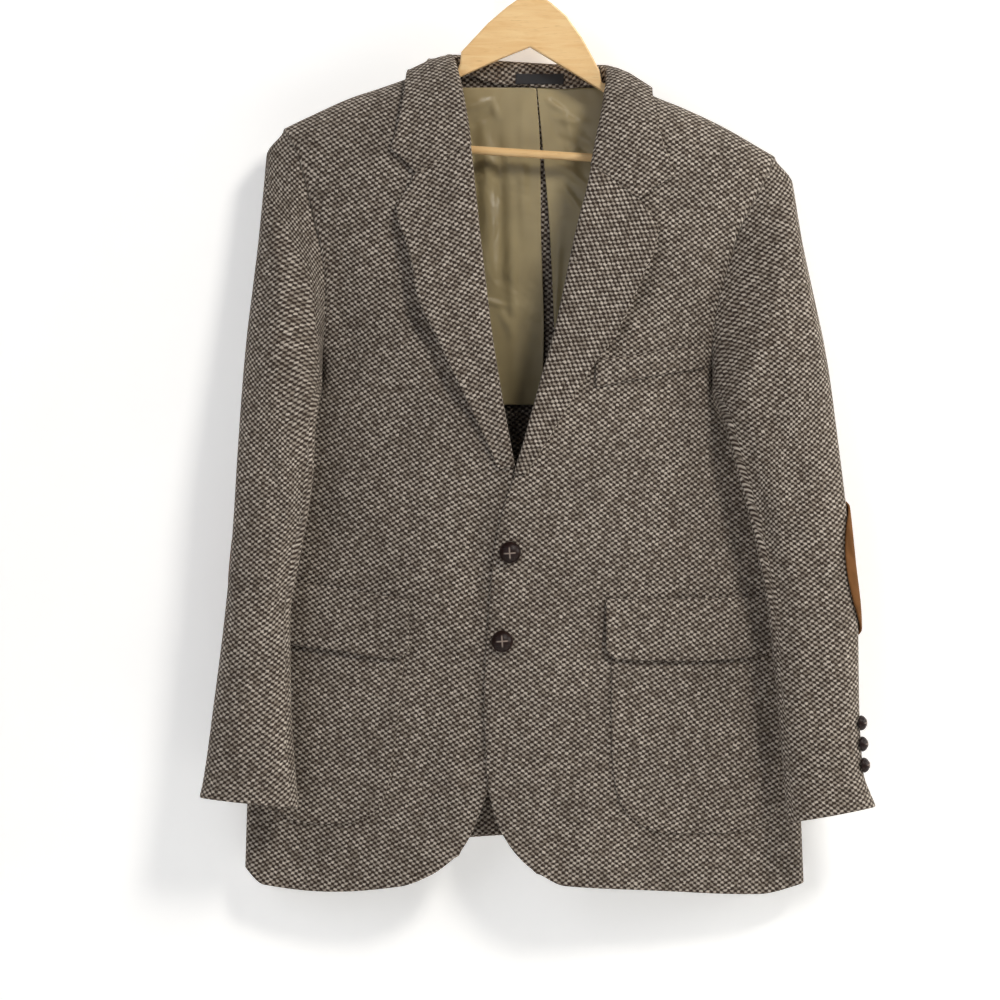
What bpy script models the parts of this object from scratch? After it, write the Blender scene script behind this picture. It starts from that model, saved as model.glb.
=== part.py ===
"""A tweed hacking jacket hanging on a plain wooden hanger. Metres, +Z up, the front towards -Y, and
the origin at the inside top of the hook. The garment is drafted in millimetres of a large size and
graded down: x runs to the viewer's right of the centre line, y is depth, drop is the way down."""

import math

import bmesh
import bpy
from mathutils import Vector

GRADE = 0.96
MM = 0.001 * GRADE
HOOK_TO_DRAFT = 93.0

WALL = 2.6
THIN_WALL = 2.1
LINING_WALL = 1.2
SEAM_GAP = 0.4
LAID_GAP = 0.4
WELT_GAP = 0.8
ROLL_GAP = 0.7
COLLAR_GAP = 1.3
SLEEVE_GAP = 0.9
EDGE_ROLL = 8.0
FRONT_LENGTH = 760.0
FRONT_WIDTH = 220.0
BACK_WIDTH = 260.0
UNDERARM_AT = 0.6
SHOULDER_ROLL = {"front": 46.0, "back": 32.0}
STEP = 0.02

FRONT = "front"
BACK = "back"
LEFT = -1
RIGHT = 1

TWEED = (0.145, 0.110, 0.085)
LINING = (0.262, 0.212, 0.125)
SUEDE = (0.195, 0.078, 0.020)
LEATHER = (0.030, 0.010, 0.007)
LABEL = (0.010, 0.010, 0.012)
WOOD = (0.790, 0.480, 0.190)
METAL = (0.620, 0.620, 0.600)


def table(columns, *rows):
    names = columns.split()
    return {name: [row[place] for row in rows] for place, name in enumerate(names)}


# The hanging body: its outline left and right, the depth of the side seams, how far the front and
# the back stand out from there, and how square the plan is (a small power is a square chest).
BODY = table(
    "drop left right seam front back power",
    (20, -262, 262, 0, 14, 13, 0.60),
    (60, -262, 262, 0, 18, 15, 0.60),
    (127, -262, 264, 0, 25, 17, 0.60),
    (200, -243, 246, 4, 34, 18, 0.60),
    (287, -226, 212, 9, 41, 17, 0.65),
    (350, -213, 190, 13, 43, 16, 0.80),
    (372, -208, 183, 14, 44, 16, 0.90),
    (390, -212, 184.5, 15, 44, 16, 0.95),
    (410, -220, 191, 15, 44, 16, 1.00),
    (440, -231, 206, 16, 44, 16, 1.10),
    (490, -247, 224, 17, 43, 16, 1.20),
    (560, -265, 249, 18, 41, 16, 1.30),
    (630, -276, 263, 18, 39, 16, 1.30),
    (700, -281, 268, 18, 37, 15, 1.20),
    (800, -285, 273, 18, 35, 14, 1.10),
    (900, -288, 277, 18, 33, 13, 1.00),
)

# The shoulder ridge, from the left shoulder over the neck to the right one.
RIDGE = table(
    "x drop",
    (-262, 135),
    (-247, 127),
    (-219, 113.5),
    (-180, 96),
    (-150, 86),
    (-120, 75),
    (-97, 63),
    (-83, 55.6),
    (-58, 40),
    (0, 30),
    (56, 46),
    (83, 67.6),
    (97, 77),
    (118, 91),
    (156, 107),
    (194, 125),
    (234, 148),
    (246, 155),
    (262, 166),
)

# Where the panels end at the armhole and then at the side seam.
ARMHOLE = {
    LEFT: table(
        "drop x",
        (127, -247),
        (149, -234),
        (183, -224),
        (218, -216),
        (252, -208),
        (287, -204),
        (321, -205),
        (350, -207),
        (370, -208),
    ),
    RIGHT: table(
        "drop x",
        (155, 246),
        (173, 239),
        (199, 225),
        (226, 211),
        (266, 198),
        (292, 190.5),
        (321, 185),
        (350, 182.5),
        (378, 183),
    ),
}
SHOULDER_DROP = {LEFT: 127.0, RIGHT: 155.0}
UNDERARM_DROP = {LEFT: 370.0, RIGHT: 378.0}
SIDE_HEM_DROP = {LEFT: 869.0, RIGHT: 885.0}

# The free edge of each front: neck, roll line, button edge, cutaway.
FRONT_EDGE = {
    LEFT: table(
        "drop x",
        (55.6, -83),
        (63, -80),
        (75, -75.5),
        (93, -71),
        (118, -66),
        (147, -62),
        (190, -57.5),
        (229, -53.5),
        (280, -47.5),
        (330, -41.5),
        (390, -32),
        (440, -23),
        (475, -16),
        (500, -6),
        (530, 1),
        (570, 2),
        (640, -2),
        (700, -12),
        (750, -28),
        (785, -41),
        (815, -52),
        (837, -61),
        (855, -72),
    ),
    RIGHT: table(
        "drop x",
        (67.6, 83),
        (77, 81.5),
        (95, 78.2),
        (122, 72.8),
        (154, 66.5),
        (196, 58),
        (221, 51),
        (260, 42.5),
        (330, 27.5),
        (390, 10.5),
        (440, -3),
        (475, -14),
        (500, -23),
        (530, -31),
        (570, -37),
        (640, -42),
        (700, -45),
        (760, -43),
        (790, -40),
        (820, -33),
        (845, -20),
        (862, -6),
        (872, 6),
    ),
}
HEM = {
    LEFT: table("x drop", (-288, 869), (-268, 886), (-200, 892), (-130, 886), (-98, 874), (-72, 855)),
    RIGHT: table("x drop", (6, 872), (34, 885), (120, 890), (230, 895), (277, 885)),
}
BACK_HEM = table("x drop", (-288, 869), (-150, 850), (0, 838), (150, 862), (277, 885))
BACK_NECK = table("x drop", (-83, 55.6), (-72, 55), (-45, 58.5), (0, 62), (45, 64.5), (72, 65), (83, 67.6))
BACK_SEAM_TOP = 62.0
BACK_SEAM_HEM = 838.0
BACK_COLUMNS = [0, 0.1, 0.18, 0.24, 0.29, 0.335, 0.42, 0.54, 0.68, 0.83]

# The right front lies over the left one by this much, and the lap dies away across the chest.
LAP = 3.6
LAP_FULL_X = 14.0
LAP_END_X = 130.0
LAP_START_DROP = 375.0
LAP_FULL_DROP = 455.0

# Soft folds of the fronts and the back: the line they follow, how wide and how proud they are.
FOLDS = {
    FRONT: table(
        "x0 drop0 x1 drop1 width height",
        (-178, 270, -166, 520, 26, 2.2),
        (-112, 420, -120, 560, 22, 1.6),
        (-60, 690, -78, 840, 24, 2.0),
        (150, 430, 170, 580, 26, 2.0),
        (60, 470, 44, 640, 24, 1.6),
        (30, 700, 48, 860, 26, 2.4),
        (122, 240, 108, 330, 24, 1.5),
    ),
    BACK: table(
        "x0 drop0 x1 drop1 width height",
        (-120, 240, -140, 620, 34, 2.6),
        (118, 250, 146, 640, 34, 2.6),
        (-40, 560, -52, 820, 30, 2.0),
        (52, 540, 60, 830, 30, 2.2),
    ),
}

# Each sleeve by height: its outer and inner side, and the front and back of its plan.
SLEEVE = {
    LEFT: table(
        "drop outer inner front back",
        (120, -261, -214, -12, 16),
        (157, -265, -214, -15, 16),
        (192, -268, -213, -20, 17),
        (244, -273, -210, -27, 17),
        (287, -278, -208, -32, 16),
        (338, -284, -210, -38, 14),
        (375, -287, -213, -42, 4),
        (420, -290, -214, -46, -5),
        (470, -293, -216, -49, -11),
        (520, -296, -222, -51, -11),
        (560, -299, -230, -52, -12),
        (620, -305, -239, -54, -12),
        (700, -315, -238, -56, -12),
        (780, -326, -233, -58, -12),
        (802, -331, -231, -58, -12),
    ),
    RIGHT: table(
        "drop outer inner front back",
        (150, 258, 214, -12, 16),
        (187, 265, 212, -17, 17),
        (238, 273, 203, -26, 17),
        (287, 283, 193, -33, 17),
        (345, 295, 187, -39, 14),
        (378, 300, 189, -43, 4),
        (420, 305, 194, -46, -5),
        (470, 311, 206, -49, -11),
        (520, 317, 219, -51, -11),
        (560, 321, 228, -52, -12),
        (620, 327, 238, -54, -12),
        (700, 328, 246, -56, -12),
        (770, 332, 252, -58, -12),
        (804, 344, 255, -59, -12),
    ),
}
CUFF_DROP = {LEFT: 800.0, RIGHT: 812.0}
CUFF_RISE = {LEFT: 5.0, RIGHT: 8.0}
HIND_SEAM = {LEFT: -48.0, RIGHT: -20.0}
FORE_SEAM = {LEFT: 150.0, RIGHT: 150.0}
CAP_FADE = 26.0
UNDER_FADE = 62.0
FADE_TURN = 1.2
NEAR_SHARE = 0.004
NEAR_ANGLE = 1.5
ARMHOLE_SHARE = 0.02
SLEEVE_SEAM_ANGLE = 0.45
SLEEVE_TOP_ROWS = (0, 0.008, 0.022, 0.042, 0.07, 0.105, 0.15, 0.2)
SLEEVE_LOW_ROWS = (0.26, 0.33, 0.4, 0.48, 0.56, 0.64, 0.73, 0.82, 0.9, 0.955, 1)
SLEEVE_ROWS = SLEEVE_TOP_ROWS + SLEEVE_LOW_ROWS

# The lapels by rows from the break up: where the row leaves the roll line, and where it ends.
LAPEL = {
    LEFT: table(
        "roll x drop lift",
        (466, -31, 468, 0.4),
        (440, -43, 440, 1.0),
        (405, -58, 407, 2.0),
        (365, -75, 367, 3.0),
        (330, -91, 333, 3.6),
        (295, -104, 299, 3.4),
        (262, -114, 268, 3.0),
        (230, -121, 240, 2.4),
        (196, -131, 215, 1.8),
        (173, -131.5, 205, 1.6),
        (148, -128, 199, 1.6),
    ),
    RIGHT: table(
        "roll x drop lift",
        (472, -5, 474, 0.4),
        (445, 12, 447, 0.8),
        (410, 33, 412, 1.6),
        (370, 56, 372, 2.4),
        (335, 76, 336, 2.6),
        (300, 94, 304, 2.4),
        (268, 109, 274, 2.2),
        (236, 120, 252, 1.8),
        (212, 125.5, 236, 1.4),
        (190, 126, 226, 1.2),
        (169, 122, 219, 1.2),
    ),
}
NOTCH = {LEFT: (-112.0, 173.0), RIGHT: (107.0, 199.0)}
NOTCH_AT = 0.72
NOTCH_AT_COLLAR = 0.62

# The collar by rows round the neck: the panel edge it folds over, the way its fold and its fall
# face, the height of the stand inside, and its outer edge.
COLLAR = table(
    "face side x drop tip_x tip_z fall_x fall_y stand edge_x edge_drop lift",
    (FRONT, LEFT, -62.3, 146, 0.99, 0.12, -0.05, -1.0, 1.0, -138, 149, 1.4),
    (FRONT, LEFT, -64.2, 130, 0.98, 0.18, -0.10, -1.0, 1.0, -132, 132, 1.6),
    (FRONT, LEFT, -68.6, 105, 0.96, 0.28, -0.20, -1.0, 1.5, -127, 110, 2.5),
    (FRONT, LEFT, -73.3, 83, 0.90, 0.45, -0.35, -0.94, 3.0, -123.5, 94, 2.9),
    (FRONT, LEFT, -76.8, 71, 0.80, 0.60, -0.55, -0.84, 6.0, -122, 84, 3.3),
    (FRONT, LEFT, -80.4, 62, 0.60, 0.80, -0.80, -0.60, 9.0, -120.5, 78, 4.2),
    (FRONT, LEFT, -82.1, 58, 0.45, 0.88, -0.92, -0.35, 9.5, -119.5, 76, 4.3),
    (FRONT, LEFT, -83, 55.6, 0.30, 0.95, -1.0, 0.0, 10.0, -119, 74.8, 4.3),
    (BACK, LEFT, -82.2, 55.6, 0.20, 0.97, -0.95, 0.30, 10.5, -118.5, 75.6, 4.3),
    (BACK, LEFT, -80.5, 55.6, 0.10, 0.99, -0.85, 0.55, 11.0, -116.5, 80, 4.2),
    (BACK, LEFT, -76.5, 55.2, 0.05, 1.0, -0.70, 0.72, 12.0, -110, 89, 3.8),
    (BACK, LEFT, -68, 55.3, 0.0, 1.0, -0.50, 0.87, 14.0, -96, 101, 2.9),
    (BACK, LEFT, -57, 56.6, 0.0, 1.0, -0.32, 0.95, 16.0, -76, 109, 2.8),
    (BACK, LEFT, -45, 58.5, 0.0, 1.0, -0.20, 0.98, 18.0, -58, 115, 2.5),
    (BACK, LEFT, 0, 62, 0.0, 1.0, 0.0, 1.0, 19.0, 0, 121, 1.4),
    (BACK, RIGHT, 45, 64.5, 0.0, 1.0, 0.20, 0.98, 19.0, 60, 124, 2.5),
    (BACK, RIGHT, 57, 65, 0.0, 1.0, 0.32, 0.95, 17.0, 78, 120, 3.0),
    (BACK, RIGHT, 68, 64.9, 0.0, 1.0, 0.50, 0.87, 15.0, 97, 114, 3.6),
    (BACK, RIGHT, 76.5, 65.6, -0.05, 1.0, 0.70, 0.72, 13.0, 110, 103, 4.2),
    (BACK, RIGHT, 80.5, 66.6, -0.10, 0.99, 0.85, 0.55, 12.0, 115, 96, 4.5),
    (BACK, RIGHT, 82.2, 67.2, -0.20, 0.97, 0.95, 0.30, 11.5, 117, 91.6, 4.5),
    (FRONT, RIGHT, 83, 67.6, -0.30, 0.95, 1.0, 0.0, 11.0, 117.5, 90.7, 4.4),
    (FRONT, RIGHT, 82.7, 70.2, -0.45, 0.88, 0.92, -0.35, 10.0, 118.2, 92.5, 4.4),
    (FRONT, RIGHT, 82, 74, -0.60, 0.80, 0.80, -0.60, 9.0, 119, 95.5, 4.2),
    (FRONT, RIGHT, 80.6, 83, -0.80, 0.60, 0.55, -0.84, 6.0, 120.5, 102, 3.3),
    (FRONT, RIGHT, 78.2, 95, -0.92, 0.40, 0.35, -0.94, 3.0, 123, 113, 2.9),
    (FRONT, RIGHT, 74.8, 113, -0.98, 0.20, 0.15, -1.0, 1.5, 128, 134, 2.5),
    (FRONT, RIGHT, 70.4, 134, -0.99, 0.15, 0.10, -1.0, 1.0, 135, 155, 1.6),
    (FRONT, RIGHT, 64.1, 166.5, -0.99, 0.12, 0.05, -1.0, 1.0, 143, 175, 1.4),
)

# Laid pieces: edges given as left and right by height.
HIP_POCKET = {
    LEFT: table(
        "drop left right",
        (606, -261, -124),
        (658, -262, -127),
        (730, -262, -134),
        (775, -261, -140),
        (800, -258, -148),
        (815, -250, -160),
        (824, -232, -180),
    ),
    RIGHT: table(
        "drop left right",
        (604, 80, 246),
        (658, 82, 248),
        (735, 82, 250),
        (780, 85, 250),
        (806, 93, 248),
        (822, 107, 240),
        (833, 130, 218),
    ),
}
HIP_FLAP = {
    LEFT: table(
        "x top bottom",
        (-262, 578, 636),
        (-250, 580, 642),
        (-190, 590, 650),
        (-135, 598, 657),
        (-121, 600, 650),
    ),
    RIGHT: table(
        "x top bottom",
        (76, 600, 650),
        (86, 600, 658),
        (160, 600, 660),
        (232, 598, 656),
        (246, 598, 649),
    ),
}
WELT = table(
    "x top bottom",
    (66, 363, 386),
    (72, 361.5, 385),
    (120, 353, 375),
    (168, 344.5, 367),
    (174, 343.5, 366),
)

# The half lining of the back: the pleat edge of each half, and how loose it hangs.
PLEAT = table(
    "drop left right loose",
    (84, 6, 8, 0.1),
    (147, 10, 14, 2.0),
    (229, 11, 21, 3.5),
    (330, 14, 26, 4.5),
    (403, 12, 30, 5.0),
)
LINING_SIDE = 148.0
LINING_TOP = 84.0
LINING_HEM = 403.0
LINING_UNDER_RIDGE = 20.0
LINING_WAVE = 0.5
LINING_ROWS = 10
LINING_COLUMNS = 8

LABEL_LEFT = -14.0
LABEL_RIGHT = 34.0
LABEL_TOP = 70.5
LABEL_BOTTOM = 80.0
LABEL_WALL = 0.8
LABEL_COLUMNS = 6

# The wooden hanger: its top and bottom edges, left to right, and its parts.
HANGER_NECK = table(
    "x drop",
    (-103, 72),
    (-90, 71),
    (-74, 71),
    (-70.5, 62),
    (-69, 50),
    (-42, 21),
    (-22, 4),
    (-6, -7),
    (8, -8),
    (22, 1),
    (37, 14),
    (52, 35),
    (63, 55),
    (70, 69),
    (72, 81),
    (88, 84),
    (103, 87.5),
)
HANGER_ARM = (118, 133, 150, 165, 180, 195, 208, 218)
HANGER_UNDER_RIDGE = 5.6
HANGER_END = {LEFT: (-226.0, 134.0), RIGHT: (226.0, 158.0)}
HANGER_BOTTOM = table(
    "x drop",
    (-226, 146),
    (-222, 152),
    (-205, 146),
    (-180, 127),
    (-120, 98),
    (-70, 75),
    (-30, 57),
    (0, 45),
    (30, 63),
    (74, 90),
    (120, 116),
    (180, 148),
    (205, 170),
    (222, 179),
    (226, 173),
)
HANGER_THICK = 12.0
HANGER_EDGE = 1.6
BAR_LEFT = (-213.0, 138.0)
BAR_RIGHT = (213.0, 166.0)
BAR_RADIUS = 4.3
BORE_GAP = 0.35
BORE_CLEAR = 40.0
HOOK_WIRE = 1.9
HOOK_RADIUS = 18.0
HOOK_STEM_DROP = 2.0
HOOK_FIRST_ANGLE = -60
HOOK_LAST_ANGLE = 200
HOOK_STEP_ANGLE = 20
HOOK_SIDES = 8
HOOK_LEAN = ((0, 0, -20), (0.2, 0, -33), (1.4, 0, -44), (4.6, 0, -52))

FRONT_BUTTONS = ((-20.0, 552.0), (-28.0, 641.0))
FRONT_BUTTON_RADIUS = 11.0
FRONT_BUTTON_HIGH = 8.6
BUTTON_SIDES = 10
BUTTON_CROWN = ((0.85, 0.0), (1.0, 0.35), (0.88, 0.75), (0.5, 1.0))
BUTTON_SHANK = 1.8
SHANK_RADIUS = 2.4
CUFF_SHANK = 3.6
CUFF_BUTTONS = (722.0, 743.0, 764.0)
CUFF_BUTTON_ANGLE = {LEFT: -32.0, RIGHT: 2.0}
CUFF_BUTTON_RADIUS = 7.6
CUFF_BUTTON_HIGH = 6.4
ELBOW = {LEFT: (-78.0, 560.0), RIGHT: (-24.0, 568.0)}
ELBOW_HALF_ANGLE = 58.0
ELBOW_GAP = 1.7
ELBOW_HALF_LENGTH = 66.0
ELBOW_LEAST_SHARE = 0.16
ELBOW_ROUNDNESS = 2.4
ELBOW_ROWS = 10
ELBOW_COLUMNS = 8


def mix(start, end, part):
    return start + (end - start) * part


def slope(keys, values, place):
    return (values[place + 1] - values[place]) / (keys[place + 1] - keys[place])


def read(rows, key, value, at):
    """A column of a table at any place of its key: a smooth curve that doesn't overshoot its rows."""
    keys = rows[key]
    values = rows[value]
    if at <= keys[0]:
        return values[0]
    if at >= keys[-1]:
        return values[-1]
    place = 0
    while keys[place + 1] < at:
        place += 1
    here = slope(keys, values, place)
    before = slope(keys, values, place - 1) if place > 0 else here
    after = slope(keys, values, place + 1) if place + 2 < len(keys) else here
    first = 2 * before * here / (before + here) if before * here > 0 else 0.0
    last = 2 * here * after / (here + after) if here * after > 0 else 0.0
    width = keys[place + 1] - keys[place]
    part = (at - keys[place]) / width
    flow = part * part * (3 - 2 * part)
    lead = part * (1 - part) * (1 - part) * first * width
    tail = part * part * (part - 1) * last * width
    return mix(values[place], values[place + 1], flow) + lead + tail


def soft(part):
    part = min(max(part, 0.0), 1.0)
    return part * part * (3 - 2 * part)


def rise(distance, radius):
    """A quarter round: 0 at its edge, 1 from its radius on."""
    part = 1 - min(max(distance / radius, 0.0), 1.0)
    return math.sqrt(1 - part * part)


def place(point):
    x, y, drop = point
    return Vector((x * MM, y * MM, -(drop + HOOK_TO_DRAFT) * MM))


def fold_height(face, x, drop):
    """The sum of the soft folds here: each is a ridge that dies away across and at both ends."""
    total = 0.0
    rows = FOLDS[face]
    for x0, drop0, x1, drop1, width, height in zip(*rows.values()):
        part = (drop - drop0) / (drop1 - drop0)
        if not 0 < part < 1:
            continue
        across = (x - mix(x0, x1, part)) / width
        total += height * math.exp(-across * across) * math.sin(math.pi * part)
    return total


def lap_height(x, drop):
    across = 1 - soft((x - LAP_FULL_X) / (LAP_END_X - LAP_FULL_X))
    return LAP * across * soft((drop - LAP_START_DROP) / (LAP_FULL_DROP - LAP_START_DROP))


def body_y(face, side, x, drop):
    """The depth of the outer face of the body here."""
    left = read(BODY, "drop", "left", drop)
    right = read(BODY, "drop", "right", drop)
    across = (x - (left + right) / 2) / ((right - left) / 2)
    full = max(0.0, 1 - across * across) ** read(BODY, "drop", "power", drop)
    under_ridge = rise(drop - read(RIDGE, "x", "drop", x), SHOULDER_ROLL[face])
    edge = EDGE_ROLL * rise(min(x - left, right - x), EDGE_ROLL)
    depth = (edge + full * (read(BODY, "drop", face, drop) + fold_height(face, x, drop))) * under_ridge
    depth += SEAM_GAP / 2
    if face == FRONT and side == RIGHT:
        depth += lap_height(x, drop)
    seam = read(BODY, "drop", "seam", drop)
    return seam - depth if face == FRONT else seam + depth


def body_normal(face, side, x, drop):
    inwards = -STEP if x > 0 else STEP
    here = body_y(face, side, x, drop)
    across = (body_y(face, side, x + inwards, drop) - here) / inwards
    down = (body_y(face, side, x, drop + STEP) - here) / STEP
    facing = Vector((across, -1.0, -down)) if face == FRONT else Vector((-across, 1.0, down))
    return facing.normalized()


def skin(face, side, x, drop, out=0.0):
    """The point of the body's outer face at x and drop, moved out along its normal."""
    facing = body_normal(face, side, x, drop)
    y = body_y(face, side, x, drop)
    return (x + facing.x * out, y + facing.y * out, drop - facing.z * out)


def material(name, colour, rough, metal=0.0):
    made = bpy.data.materials.new(name)
    made.use_nodes = True
    shader = made.node_tree.nodes["Principled BSDF"]
    shader.inputs["Base Color"].default_value = (*colour, 1)
    shader.inputs["Roughness"].default_value = rough
    shader.inputs["Metallic"].default_value = metal
    made.diffuse_color = (*colour, 1)
    return made


def add(name, points, faces, colour, rough=0.9, metal=0.0):
    mesh = bpy.data.meshes.new(name)
    mesh.from_pydata([place(point) for point in points], [], faces)
    work = bmesh.new()
    work.from_mesh(mesh)
    bmesh.ops.recalc_face_normals(work, faces=work.faces)
    work.to_mesh(mesh)
    work.free()
    mesh.materials.append(material(name, colour, rough, metal))
    made = bpy.data.objects.new(name, mesh)
    bpy.context.scene.collection.objects.link(made)
    return made


def shell(name, outer, inner, colour, rough=0.9):
    """A closed wall between two grids of the same size."""
    rows = len(outer)
    columns = len(outer[0])
    points = [point for row in outer for point in row] + [point for row in inner for point in row]
    size = rows * columns
    faces = []
    for row in range(rows - 1):
        for column in range(columns - 1):
            first = row * columns + column
            quad = (first, first + 1, first + columns + 1, first + columns)
            faces.append(quad)
            faces.append(tuple(size + corner for corner in reversed(quad)))
    rim = [column for column in range(columns)]
    rim += [row * columns + columns - 1 for row in range(1, rows)]
    rim += [(rows - 1) * columns + column for column in range(columns - 2, -1, -1)]
    rim += [row * columns for row in range(rows - 2, 0, -1)]
    for start, end in zip(rim, rim[1:] + rim[:1]):
        faces.append((start, size + start, size + end, end))
    return add(name, points, faces, colour, rough)


def edge_drops(count, length):
    """Distances from a rounded edge, closer together where it turns."""
    return [length * (1 - math.cos(math.pi / 2 * step / count)) for step in range(count + 1)]


def panel_edge(side, drop):
    """Where a body panel ends at the armhole, and below it at the side seam."""
    if drop < UNDERARM_DROP[side]:
        return read(ARMHOLE[side], "drop", "x", drop)
    return read(BODY, "drop", "left" if side == LEFT else "right", drop)


def shares(plain, rounded, length):
    """Shares from 0 to 1 along a line, the last of them crowding into the rounded end."""
    far = [1 - distance / length for distance in edge_drops(rounded, EDGE_ROLL)]
    return [far[-1] * step / plain for step in range(plain)] + far[::-1]


def body_grid(face, side, edge, edge_drop, neck_drop, hem, top, columns, rows, out):
    """The rows of a front or a back, from the hem up to the shoulder seam, each running from the
    free or centre edge to the armhole and side seam."""
    side_drop = SIDE_HEM_DROP[side]
    shoulder_drop = SHOULDER_DROP[side]
    hem_edge = edge(edge_drop)
    hem_side = panel_edge(side, side_drop)
    neck_edge = edge(neck_drop)
    shoulder_side = panel_edge(side, shoulder_drop)
    grid = []
    for up in rows:
        inner_drop = mix(edge_drop, neck_drop, up)
        outer_drop = mix(side_drop, shoulder_drop, up)
        inner_x = edge(inner_drop)
        outer_x = panel_edge(side, outer_drop)
        row = []
        for across in columns:
            hem_bend = hem(mix(hem_edge, hem_side, across)) - mix(edge_drop, side_drop, across)
            top_bend = top(mix(neck_edge, shoulder_side, across)) - mix(neck_drop, shoulder_drop, across)
            drop = mix(inner_drop, outer_drop, across)
            drop += hem_bend * max(0.0, 1 - up * 4) ** 2 + top_bend * up**4
            row.append(skin(face, side, mix(inner_x, outer_x, across), drop, out))
        grid.append(row)
    return grid


def ridge_rows(face, low, high):
    """Rows from the hem up: some below the underarm, more beside the armhole, and the ridge's own."""
    far = [1 - distance / FRONT_LENGTH for distance in edge_drops(5, SHOULDER_ROLL[face])]
    below = [UNDERARM_AT * step / low for step in range(low)]
    beside = [mix(UNDERARM_AT, far[-1], step / high) for step in range(high)]
    return below + beside + far[::-1]


def make_fronts():
    for name, side in (("front_left", LEFT), ("front_right", RIGHT)):
        rows = FRONT_EDGE[side]
        hem = HEM[side]
        grids = [
            body_grid(
                FRONT,
                side,
                lambda drop: read(rows, "drop", "x", drop),
                rows["drop"][-1],
                rows["drop"][0],
                lambda x: read(hem, "x", "drop", x),
                lambda x: read(RIDGE, "x", "drop", x),
                shares(9, 3, FRONT_WIDTH),
                ridge_rows(FRONT, 14, 11),
                out,
            )
            for out in (0.0, -WALL)
        ]
        shell(name, grids[0], grids[1], TWEED)


def back_top(x):
    if abs(x) < BACK_NECK["x"][-1]:
        return read(BACK_NECK, "x", "drop", x)
    return read(RIDGE, "x", "drop", x)


def make_backs():
    for name, side in (("back_left", LEFT), ("back_right", RIGHT)):
        centre = side * SEAM_GAP / 2
        grids = [
            body_grid(
                BACK,
                side,
                lambda drop: centre,
                BACK_SEAM_HEM,
                BACK_SEAM_TOP,
                lambda x: read(BACK_HEM, "x", "drop", x),
                back_top,
                BACK_COLUMNS + shares(1, 3, BACK_WIDTH)[1:],
                ridge_rows(BACK, 8, 10),
                out,
            )
            for out in (0.0, -WALL)
        ]
        shell(name, grids[0], grids[1], TWEED)


def ring(side, angle, drop):
    """The point of a sleeve's plan at this height; 0 is its outer side, 90 its front."""
    outer = read(SLEEVE[side], "drop", "outer", drop)
    inner = read(SLEEVE[side], "drop", "inner", drop)
    front = read(SLEEVE[side], "drop", "front", drop)
    back = read(SLEEVE[side], "drop", "back", drop)
    turn = math.radians(angle)
    x = (outer + inner) / 2 + (outer - inner) / 2 * math.cos(turn)
    y = (front + back) / 2 - (back - front) / 2 * math.sin(turn)
    return x, y


def armhole(side, angle):
    """The point of the armhole seam that the sleeve's line at this angle starts from."""
    turn = math.radians(angle)
    drop = mix(SHOULDER_DROP[side], UNDERARM_DROP[side], (1 - math.cos(turn)) / 2)
    x = panel_edge(side, drop - STEP)
    face = FRONT if math.sin(turn) >= 0 else BACK
    y = body_y(face, side, x - side * STEP, drop)
    return x + side * SLEEVE_GAP, y, drop


def sleeve_point(side, angle, along):
    x0, y0, drop0 = armhole(side, angle)
    cuff = CUFF_DROP[side] - CUFF_RISE[side] * math.cos(math.radians(angle))
    drop = mix(drop0, cuff, along)
    start_x, start_y = ring(side, angle, drop0)
    x, y = ring(side, angle, drop)
    length = mix(CAP_FADE, UNDER_FADE, soft((1 - math.cos(math.radians(angle))) / FADE_TURN))
    fade = 1 - soft((drop - drop0) / length)
    return Vector((x + (x0 - start_x) * fade, y + (y0 - start_y) * fade, drop))


def sleeve_normal(side, angle, along):
    first = max(along - NEAR_SHARE, 0.0)
    last = min(along + NEAR_SHARE, 1.0)
    down = sleeve_point(side, angle, last) - sleeve_point(side, angle, first)
    around = sleeve_point(side, angle + NEAR_ANGLE, along) - sleeve_point(side, angle - NEAR_ANGLE, along)
    facing = down.cross(around)
    facing.normalize()
    turn = math.radians(angle)
    outwards = Vector((side * math.cos(turn), -math.sin(turn), 0.0))
    return -facing if facing.dot(outwards) < 0 else facing


def sleeve_skin(side, angle, along, out=0.0):
    """A point of the sleeve's outer face moved out; at the armhole its wall lines up with the body's."""
    point = sleeve_point(side, angle, along)
    facing = sleeve_normal(side, angle, along)
    near = 1 - soft(along / ARMHOLE_SHARE)
    if near > 0:
        x, _, drop = armhole(side, angle)
        face = FRONT if math.sin(math.radians(angle)) >= 0 else BACK
        body = body_normal(face, side, x - side * (SLEEVE_GAP + STEP), drop)
        body = Vector((body.x, body.y, -body.z))
        if facing.x * side > body.x * side:
            facing = facing.lerp(body, near)
            facing.normalize()
    return tuple(point + facing * out)


def make_sleeves():
    for word, side in (("left", LEFT), ("right", RIGHT)):
        hind = HIND_SEAM[side]
        fore = FORE_SEAM[side]
        spans = (("top_sleeve_", hind, fore, 10), ("under_sleeve_", fore, hind + 360, 9))
        for name, start, end, count in spans:
            start += SLEEVE_SEAM_ANGLE
            end -= SLEEVE_SEAM_ANGLE
            angles = [mix(start, end, step / count) for step in range(count + 1)]
            outer = [[sleeve_skin(side, angle, along) for angle in angles] for along in SLEEVE_ROWS]
            inner = [[sleeve_skin(side, angle, along, -WALL) for angle in angles] for along in SLEEVE_ROWS]
            shell(name + word, outer, inner, TWEED)


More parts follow.
